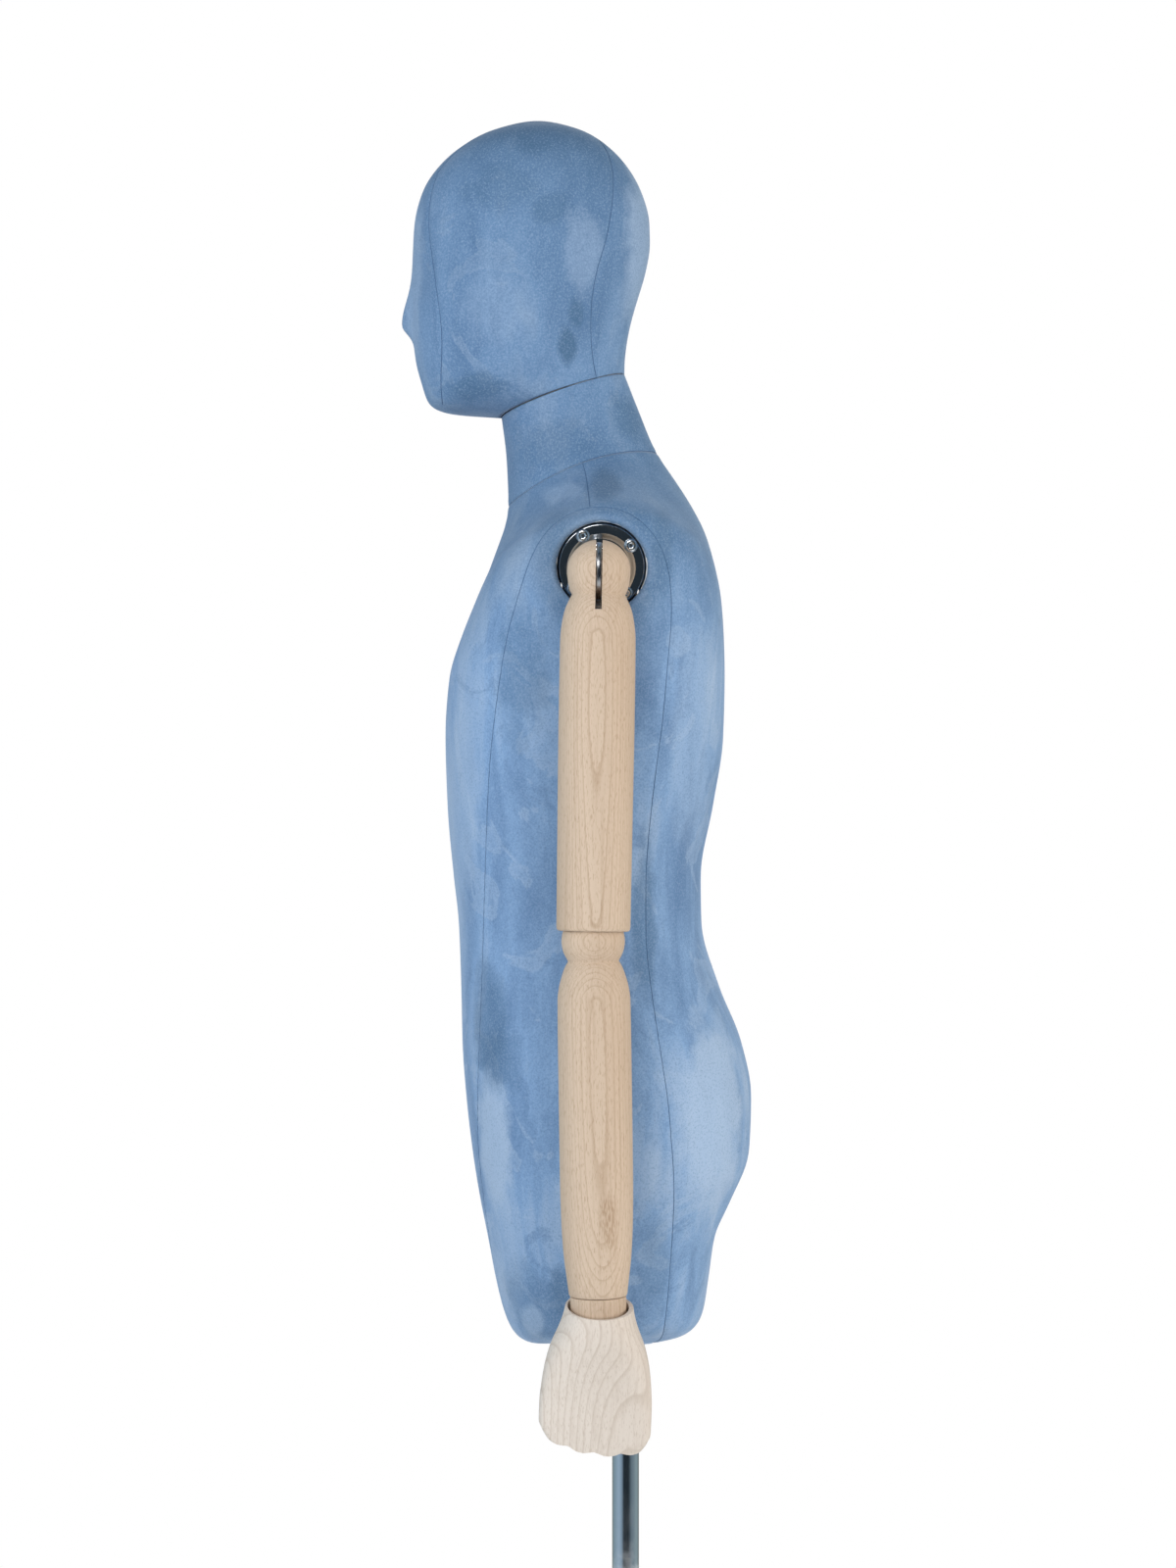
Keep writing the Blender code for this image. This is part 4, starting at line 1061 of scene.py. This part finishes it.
def build_hook(mats, suffix, side):
    """Forged tongue in the ball's slot, with its flange and spindle."""
    swing = joint_place(f"shoulder_swing_{suffix}")
    across = Matrix.Rotation(joint_tilt(suffix), 4, "X") @ Vector((0, 1, 0))
    place = frame_at(swing, Vector((1, 0, 0)).cross(across), across)
    flange_face = plate_face + 0.4 - abs(swing.x)
    web_end = flange_face + 2
    outline = [(web_end, 22.5), (-12, 22.5), *arc((0, 0), TONGUE_RADIUS, 100, -150, 48), (web_end, -7)]
    outline = [(side * x, z) for x, z in outline]
    tongue = slab("tongue", outline, TONGUE_THICKNESS / 2, mats["steel"], place, bevel=0.7)
    flange = pin("flange", (side * (flange_face + 1.5), 0, 0), (1, 0, 0), 12, 1.5, mats["steel"], place, 64)
    spindle = pin("spindle", (side * (flange_face - 8), 0, 0), (1, 0, 0), SPINDLE_RADIUS, 10,
                  mats["steel"], place, 48)
    eye = pin("eye", (0, 0, 0), (0, 1, 0), PIN_RADIUS + PIN_PLAY, 10, None, place, 40)
    cut(tongue, flange, spindle, operation="UNION")
    cut(tongue, eye)
    tongue.name = f"hook_{suffix}"
    make_solid(tongue, 30)
    belongs(tongue, f"shoulder_{suffix}", f"shoulder_hook_{suffix}")


def joint_tilt(suffix):
    """How far the arm's swing plane leans forward, from the raise joint's axis."""
    axis = joint_axis(f"shoulder_raise_{suffix}")
    return math.atan2(axis.z, axis.y) if axis.y > 0 else math.atan2(-axis.z, -axis.y)


# ------------------------------------------------------------------ arms

def frame_between(first, second, suffix):
    """Frame at one joint, its Z pointing away from the next joint, and how far that one is."""
    top, bottom = joint_place(f"{first}_{suffix}"), joint_place(f"{second}_{suffix}")
    return frame_at(top, top - bottom, (0, 1, 0)), (top - bottom).length


def build_upper_arm(mats, suffix):
    """Turned arm: ball on the shoulder's tongue, cup over the elbow's ball."""
    place, length = frame_between("shoulder_raise", "elbow_bend", suffix)
    lip = -length + LIP_HEIGHT
    cup = BALL_RADIUS + CUP_PLAY
    cup_edge = math.degrees(math.asin(LIP_HEIGHT / cup))
    ball = arc((0, 0), BALL_RADIUS, 90, -10, 40)
    neck = curve_through([ball[-1], (22.6, -9.4), (21.5, -13.4), (19.8, -17.6)], 1.0)[1:]
    body = curve_through([(19.8, -17.6), (22, -22), (24.6, -28), (26.8, -38), (28, -50), (28.2, -110),
                          (27.8, -190), (27.4, lip + 4)], 3.0)[1:]
    edge = curve_through([(27.4, lip + 4), (27.2, lip + 2), (26.4, lip + 0.5), (25, lip)], 0.7)[1:]
    profile = [*ball, *neck, *body, *edge, *arc((0, -length), cup, cup_edge, 90, 30)]
    profile[0] = (0, BALL_RADIUS)
    profile[-1] = (0, profile[-1][1])
    item = lathe(f"upper_arm_wood_{suffix}", profile, ARM_COLUMNS, mats["beech"], place)
    half = SLOT_WIDTH / 2
    saw = block("saw", (-40, -half, SLOT_BOTTOM), (40, half, 40), place)
    hole = pin("hole", (0, 0, 0), (0, 1, 0), PIN_RADIUS + PIN_PLAY, 30, None, place, 32)
    low, high = (-length + reach for reach in MORTISE_REACH)
    mortise = block("mortise", (-ELBOW_SLOT_HALF, -MORTISE_HALF_WIDTH, low),
                    (ELBOW_SLOT_HALF, MORTISE_HALF_WIDTH, high), place)
    cut(item, saw, hole, mortise)
    make_solid(item, 32)
    belongs(item, f"upper_arm_{suffix}", f"upper_arm_{suffix}")
    rivet = pin(f"shoulder_rivet_{suffix}", (0, 0, 0), (0, 1, 0), PIN_RADIUS, BALL_RADIUS - 1,
                mats["brass"], place, 32, 0.8)
    belongs(rivet, f"upper_arm_{suffix}", f"shoulder_pin_{suffix}")


def build_forearm(mats, suffix):
    """Turned forearm: elbow ball with the tongue's slot, bore for the wrist's stem."""
    place, length = frame_between("elbow_bend", "wrist_turn", suffix)
    end = -length
    ball = arc((0, 0), BALL_RADIUS, 90, -36, 48)
    body = curve_through([(18.9, -15), (21.2, -18.9), (23.7, -26), (25.6, -33), (26.9, -43), (27.1, -80),
                          (27, -170), (26.4, -205), (24.8, -232), (22.8, -248), (21.5, end + 1.2)], 2.5)
    radius, top = STEM_BORE[0], end + STEM_BORE[1]
    bore = eased([(21.5, end + 1.2), (20.8, end), (radius, end), (radius, top), (0, top)], 0.5)
    profile = [*ball, *body, *bore[1:]]
    profile[0] = (0, BALL_RADIUS)
    item = lathe(f"forearm_wood_{suffix}", profile, ARM_COLUMNS, mats["forearm_beech"], place)
    slot = block("slot", (-ELBOW_SLOT_HALF, -40, -13), (ELBOW_SLOT_HALF, 40, 40), place)
    hole = pin("hole", (0, 0, 0), (1, 0, 0), ELBOW_PIN_HOLE, 14, None, place, 32)
    cut(item, slot, hole)
    make_solid(item, 32)
    belongs(item, f"forearm_{suffix}", f"forearm_{suffix}")


def build_wrist(mats, suffix):
    """Turned wrist: stem in the forearm, collar and the ball in the palm's cup."""
    place, drop = frame_between("wrist_turn", "wrist_bend", suffix)
    profile = eased([(0, 25), (7.5, 25), (8.5, 24), (8.5, -0.4), (20.2, -0.4)], 0.4)
    profile += curve_through([(20.2, -0.4), (20.6, -0.8), (WRIST_RADIUS, -1.6)], 0.4).tolist()[1:]
    profile += [(WRIST_RADIUS, -14), *arc((0, -drop), WRIST_RADIUS - 0.2, 0, -90, 24)]
    profile[-1] = (0, profile[-1][1])
    item = lathe(f"wrist_wood_{suffix}", profile, ARM_COLUMNS, mats["beech"], place)
    belongs(item, f"wrist_{suffix}", f"wrist_ball_{suffix}")


# ------------------------------------------------------------------ hands

# Outline of the palm below its rim: distance from the rim, half depth (X), half width (Y),
# squareness.
PALM_STATIONS = [
    (0, 27.5, 25, 2.0),
    (8, 28, 26.6, 2.1),
    (17, 27.5, 29.4, 2.2),
    (32, 24, 35.2, 2.5),
    (48, 20, 38.9, 2.8),
    (63, 17, 40.7, 3.1),
    (79, 14.7, 41.6, 3.5),
    (103, 12.5, 41.6, 4.0),
    (109, 12, 39.5, 4.0),
    (112, 11.5, 36, 4.0),
]


def hand_frame(suffix, side):
    place, drop = frame_between("wrist_turn", "wrist_bend", suffix)
    return place @ Matrix.Translation((0, 0, -drop * UNIT)) @ Matrix.Rotation(side * HAND_TILT, 4, "Y")


def palm_edge_rise(y):
    """How far the palm's lower edge stands above its lowest line: up towards the index finger,
    with one shallow lobe per finger."""
    lobes = 1 - np.abs(np.sin(np.pi * y / FINGER_PITCH))
    return EDGE_CURVE * (y - EDGE_LOWEST_Y) ** 2 + LOBE_HEIGHT * lobes


def palm_block(name, place, mats, columns=144):
    """The palm's outside, from its rim down to its lobed lower edge."""
    table = np.array(PALM_STATIONS, float)
    bottom = table[-1, 0]
    drops = np.concatenate([np.linspace(0, 103, 60), np.linspace(103, bottom, 14)[1:]])
    depths = np.arange(bottom + 1)
    rows = blurred(monotone(table[:, 0], table[:, 1:], depths), 1.6)
    rows = np.stack([np.interp(drops, depths, rows[:, i]) for i in range(3)], 1)
    angles = 2 * np.pi * np.arange(columns) / columns
    side, along = np.cos(angles), np.sin(angles)
    points = []
    for drop, (half_x, half_y, squareness) in zip(drops, rows):
        power = 2 / squareness
        x = half_x * np.sign(side) * np.abs(side) ** power
        y = half_y * np.sign(along) * np.abs(along) ** power
        rise = palm_edge_rise(y) * smooth_step(60, bottom, drop)
        points.append(np.stack([x, y, RIM_ABOVE_PIVOT - drop + rise], 1))
    count = len(drops)
    faces = grid_faces(count, columns) + [list(range(columns))]
    last, half = (count - 1) * columns, columns // 2
    for column in range(-half // 2, half // 2):
        corners = [last + index % columns for index in (column, column + 1, half - column - 1, half - column)]
        faces.append(list(dict.fromkeys(corners)))
    item = new_object(name, mesh_of(name, np.concatenate(points), faces), mats["pale_beech"])
    item.matrix_world = place
    return make_solid(item)


def notch(place, side, half_width):
    """Room for a finger's round head and its way from straight to bent."""
    room = FINGER_RADIUS + 0.7
    outline = [*arc((0, 0), room, 0, 90, 12), (-40, room), (-40, -60), (room, -60)]
    return slab("notch", [(side * x, z) for x, z in outline], half_width, None, place)


def build_palm(mats, suffix, side):
    """Palm block with the wrist's cup, the notches of the fingers and a scallop between them."""
    seat = hand_frame(suffix, side)
    place = seat @ Matrix.Rotation(HAND_LEAN, 4, "X")
    item = palm_block(f"palm_wood_{suffix}", place, mats)
    mouth, above = CUP_RADIUS + 1, RIM_ABOVE_PIVOT + 4
    cup_profile = [(0, above), (mouth, above), (mouth, RIM_ABOVE_PIVOT),
                   *arc((0, 0), CUP_RADIUS, 0, -90, 24)]
    cup_profile[-1] = (0, cup_profile[-1][1])
    stretch = Matrix.Diagonal((CUP_STRETCH, 1, 1, 1))
    cutters = [lathe("cup", cup_profile, 96, None, seat @ stretch)]
    inverse = place.inverted()
    half = FINGER_WIDTH / 2 + FINGER_PLAY
    for finger in FINGERS:
        knuckle = joint_place(f"{finger}_knuckle_{suffix}") * UNIT
        cutters.append(notch(place @ Matrix.Translation(inverse @ knuckle), side, half))
    thumb = inverse @ (joint_place(f"thumb_swing_{suffix}") * UNIT)
    cutters.append(notch(place @ Matrix.Translation(thumb) @ Matrix.Rotation(math.radians(-90), 4, "X"),
                         side, half))
    inner, wall = sorted((side * -30, side * (KNUCKLE_X + FINGER_RADIUS + FINGER_PLAY)))
    cutters.append(block("web", (inner, -60, -120), (wall, 60, WEB_TOP), place))
    for boundary in (-1, 0, 1):
        y = boundary * FINGER_PITCH
        scallop = (0, y, SCALLOP_HEIGHT + palm_edge_rise(y))
        cutters.append(pin("scallop", scallop, (1, 0, 0), SCALLOP_RADIUS, 30, None, place, 32))
    cut(item, *cutters)
    make_solid(item, 30)
    belongs(item, f"hand_{suffix}", f"palm_{suffix}")


def build_phalanx(node, place, length, is_tip, side, mats):
    """A finger joint: round head on its hinge, bevelled edges and steel pin ends."""
    radius = FINGER_RADIUS
    if is_tip:
        lower = arc((0, -length + TIP_ROUND), TIP_ROUND, -180, 0, 20)
    else:
        end = -length + radius + 0.5
        lower = [(-radius + 0.3, end), (radius - 0.3, end)]
    outline = [*arc((0, 0), radius, 0, 180, 20), *lower]
    half = FINGER_WIDTH / 2
    item = slab(f"{node}_wood", [(side * x, z) for x, z in outline], half, mats["beech"], place, bevel=2.2,
                segments=4)
    hinge = pin("hinge", (0, 0, 0), (0, 1, 0), FINGER_PIN_RADIUS, half + 0.15, mats["steel"], place, 20, 0.3)
    item = joined(f"{node}_wood", [item, hinge])
    belongs(item, node, node)


def build_finger(mats, side, chain, tip_length, tip_flex):
    """Chain is a list of (node, joint); each piece points from its joint to the next one."""
    across = joint_axis(chain[0][1])
    across = across if across.y > 0 or abs(across.y) < 0.5 and across.z < 0 else -across
    places = [joint_place(joint) for _, joint in chain]
    up = None
    for index, (node, _) in enumerate(chain):
        is_tip = index == len(chain) - 1
        if is_tip:
            up = Matrix.Rotation(side * tip_flex, 3, across) @ up
            length = tip_length
        else:
            up = places[index] - places[index + 1]
            length = up.length
            up = up.normalized()
        build_phalanx(node, frame_at(places[index], up, across), length, is_tip, side, mats)


def build_fingers(mats, suffix, side):
    for finger in FINGERS:
        chain = [(f"{finger}_{part}_{suffix}", f"{finger}_{joint}_{suffix}")
                 for part, joint in (("proximal", "knuckle"), ("middle", "middle"), ("distal", "tip"))]
        build_finger(mats, side, chain, TIP_LENGTH, TIP_FLEX)
    chain = [(f"thumb_proximal_{suffix}", f"thumb_swing_{suffix}"),
             (f"thumb_distal_{suffix}", f"thumb_tip_{suffix}")]
    build_finger(mats, side, chain, THUMB_TIP_LENGTH, THUMB_TIP_FLEX)


# ------------------------------------------------------------------ stand

def node_box(node):
    """Lowest and highest corner of a CAD node, in millimetres."""
    return (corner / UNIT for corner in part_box(node))


def build_stand(mats):
    """Base, socket, tube, collar and rod, turned to the sizes of their CAD nodes."""
    low, high = node_box("base_plate")
    radius, underside, top = high.x, low.z, high.z
    _, pad_high = node_box("base_pad")
    socket_low, _ = node_box("pole_socket")
    foot = socket_low.z
    _, tube_high = node_box("outer_tube")
    tube_radius, tube_top = tube_high.x, tube_high.z
    rod_low, rod_high = node_box("inner_rod")
    collar_low, collar_high = node_box("clamp_collar")
    bore = tube_radius + 0.4
    throat = rod_high.x + 0.6
    step = tube_top + 0.4
    collar = collar_high.x
    turned = [
        ("base_disc", "base_plate", "chrome", 160,
         [(0, top), *curve_through([(0, top), (60, top), (120, top - 0.3), (radius - 8, top - 2.1),
                                    (radius - 2, top - 3.9), (radius, top - 6.5)], 4.0)[1:].tolist(),
          (radius, underside + 1), (radius - 1, underside), (0, underside)]),
        ("base_foot", "base_pad", "rubber", 128,
         eased([(0, pad_high.z), (pad_high.x, pad_high.z), (pad_high.x, 0), (0, 0)], 0.6)),
        ("socket_turned", "pole_socket", "chrome", 96,
         eased([(bore, foot + 20), (bore, foot + 46), (18, foot + 46), (19.5, foot + 44), (19.5, foot + 12),
                (22, foot + 7), (34, foot + 4), (36, foot + 2), (36, foot), (bore, foot),
                (bore, foot + 20)], 1.4)),
        ("tube_turned", "outer_tube", "chrome", 96,
         eased([(tube_radius - 2.1, tube_top - 20), (tube_radius - 2.1, tube_top), (tube_radius, tube_top),
                (tube_radius, foot + 1), (tube_radius - 2.1, foot + 1),
                (tube_radius - 2.1, tube_top - 20)], 0.5)),
        ("collar_turned", "clamp_collar", "chrome", 96,
         eased([(throat, collar_high.z - 8), (throat, collar_high.z), (collar - 2, collar_high.z),
                (collar, collar_high.z - 2), (collar, collar_low.z + 2), (collar - 2, collar_low.z),
                (bore, collar_low.z), (bore, step), (throat, step), (throat, collar_high.z - 8)], 0.6)),
        ("rod_turned", "inner_rod", "chrome", 96,
         eased([(0, rod_high.z), (rod_high.x, rod_high.z), (rod_high.x, rod_low.z), (0, rod_low.z)], 1.0)),
    ]
    for name, node, slot, columns, profile in turned:
        item = lathe(name, profile, columns, mats[slot])
        if node == "clamp_collar":
            knob_z = joint_place("knob_turn").z
            cut(item, pin("hole", (0, 17, knob_z), (0, 1, 0), 3.5, 12, None, columns=32))
            make_solid(item)
        belongs(item, "rod" if node == "inner_rod" else "stand", node)
    for index in range(3):
        spot = (*round_spot((0, 0), SOCKET_SCREW_CIRCLE, 90 + 120 * index), foot + 5.2)
        item = screw(f"socket_screw_{index + 1}", frame_at(spot, (0, 0, 1), (0, 1, 0)), mats)
        belongs(item, "stand")
    build_knob(mats, rod_high.x)


def build_knob(mats, rod_radius):
    """Moulded knob with six flutes and its screw through the collar."""
    centre = joint_place("knob_turn")
    place = frame_at(centre, (0, 1, 0), (0, 0, 1))
    profile = eased([(0, 43), (10, 43), (14, 41.5), (16, 38), (16, 32), (14, 28), (8, 26), (7, 21), (3, 21),
                     (3, rod_radius + 0.5), (0, rod_radius + 0.5)], 1.2)
    knob = lathe("knob_moulded", profile, 96, mats["plastic"], place)
    flutes = []
    for index in range(6):
        spot = (*round_spot((0, 0), 20, 60 * index), 37)
        flutes.append(pin("flute", spot, (0, 0, 1), 6.5, 13, None, place, 32))
    cut(knob, *flutes)
    make_solid(knob)
    belongs(knob, "knob", "clamp_knob")


# ------------------------------------------------------------------ CAD nodes that stay

def dress_nodes(mats):
    """Give the CAD nodes that are shown as they are their materials."""
    slots = {"torso_shell": "fibreglass", "neck_shell": "fibreglass",
             "neck_plate": "plywood", "head_plate": "plywood", "body_socket": "steel",
             "elbow_tongue_left": "steel", "elbow_tongue_right": "steel"}
    for node, material in slots.items():
        mesh = frame["nodes"][node].data
        mesh.materials.clear()
        mesh.materials.append(mats[material])


# ------------------------------------------------------------------ studio

def build_floor():
    recipe = Recipe("floor", roughness=0.75)
    grain = recipe.noise(3.0, 3)
    material = recipe.done(recipe.ramp(grain, (0.3, (0.86, 0.86, 0.86)), (0.7, (0.9, 0.9, 0.9))))
    profile = [(0, -0.5), (FLOOR_RADIUS, -0.5), (FLOOR_RADIUS, -1.5), (0, -1.5)]
    floor = lathe("floor", profile, 128, material)


def build_world():
    """White backdrop for the camera, dim grey-blue studio for everything else."""
    world = bpy.data.worlds.new("studio")
    bpy.context.scene.world = world
    world.use_nodes = True
    nodes, links = world.node_tree.nodes, world.node_tree.links
    output = nodes["World Output"]
    studio = nodes["Background"]
    backdrop = nodes.new("ShaderNodeBackground")
    backdrop.inputs["Color"].default_value = (1, 1, 1, 1)
    coordinates = nodes.new("ShaderNodeTexCoord")
    gradient = nodes.new("ShaderNodeTexGradient")
    gradient.gradient_type = "RADIAL"
    links.new(coordinates.outputs["Generated"], gradient.inputs["Vector"])
    ramp = nodes.new("ShaderNodeValToRGB")
    links.new(gradient.outputs["Fac"], ramp.inputs["Fac"])
    stops = [(0.0, (0.30, 0.28, 0.22)), (0.17, (0.20, 0.29, 0.34)), (0.33, (0.31, 0.42, 0.53)),
             (0.40, (0.22, 0.31, 0.40)), (0.455, (0.018, 0.026, 0.034)), (0.57, (0.02, 0.028, 0.036)),
             (0.65, (0.14, 0.19, 0.23)), (0.80, (0.25, 0.33, 0.36)), (1.0, (0.12, 0.12, 0.10))]
    set_stops(ramp, stops)
    links.new(ramp.outputs["Color"], studio.inputs["Color"])
    studio.inputs["Strength"].default_value = 1.0
    path = nodes.new("ShaderNodeLightPath")
    mix = nodes.new("ShaderNodeMixShader")
    links.new(path.outputs["Is Camera Ray"], mix.inputs[0])
    links.new(studio.outputs[0], mix.inputs[1])
    links.new(backdrop.outputs[0], mix.inputs[2])
    links.new(mix.outputs[0], output.inputs["Surface"])


def area_light(name, place, target, size, power, colour=(1, 1, 1), glossy=False):
    data = bpy.data.lights.new(name, "AREA")
    data.shape = "RECTANGLE"
    data.size, data.size_y = size
    data.energy = power
    data.color = colour
    item = bpy.data.objects.new(name, data)
    bpy.context.scene.collection.objects.link(item)
    item.location = place
    item.rotation_euler = (Vector(target) - Vector(place)).to_track_quat("-Z", "Y").to_euler()
    item.visible_glossy = glossy
    item.visible_camera = False


def build_lights():
    middle = (0, -0.03, 1.3)
    area_light("key", (3.0, -1.3, 1.7), middle, (1.7, 1.7), 38)
    area_light("fill", (3.0, 1.4, 1.4), middle, (1.7, 1.7), 50)
    area_light("front_wash", (0.2, -3.0, 1.7), middle, (1.6, 2.0), 22)
    area_light("back_wash", (-0.4, 3.0, 1.7), middle, (1.6, 2.0), 50, (1.0, 0.9, 0.8))
    area_light("far_side", (-3.0, 0.0, 1.8), middle, (2.0, 2.0), 40)
    area_light("top", (0.3, 0.0, 3.6), middle, (2.0, 2.0), 5)
    area_light("spark", (1.5, -0.35, 2.2), (0.15, 0, 1.42), (0.7, 0.5), 5, glossy=True)


def build_camera():
    data = bpy.data.cameras.new("camera")
    data.sensor_width = 36
    data.lens = CAMERA_LENS
    data.clip_end = 50
    item = bpy.data.objects.new("camera", data)
    bpy.context.scene.collection.objects.link(item)
    item.location = CAMERA_PLACE
    item.rotation_euler = (math.radians(90 - CAMERA_PITCH), 0, math.radians(90))
    bpy.context.scene.camera = item
    bpy.context.scene.view_settings.view_transform = "Standard"


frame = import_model()
plate_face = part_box("shoulder_plate_left")[1].x / UNIT
materials = make_materials()
build_covers(materials)
build_head(materials)
for suffix, side in SIDES:
    build_shoulder_plate(materials, suffix, side)
    build_hook(materials, suffix, side)
    build_upper_arm(materials, suffix)
    build_forearm(materials, suffix)
    build_wrist(materials, suffix)
    build_palm(materials, suffix, side)
    build_fingers(materials, suffix, side)
build_stand(materials)
dress_nodes(materials)
build_floor()
build_world()
build_lights()
build_camera()
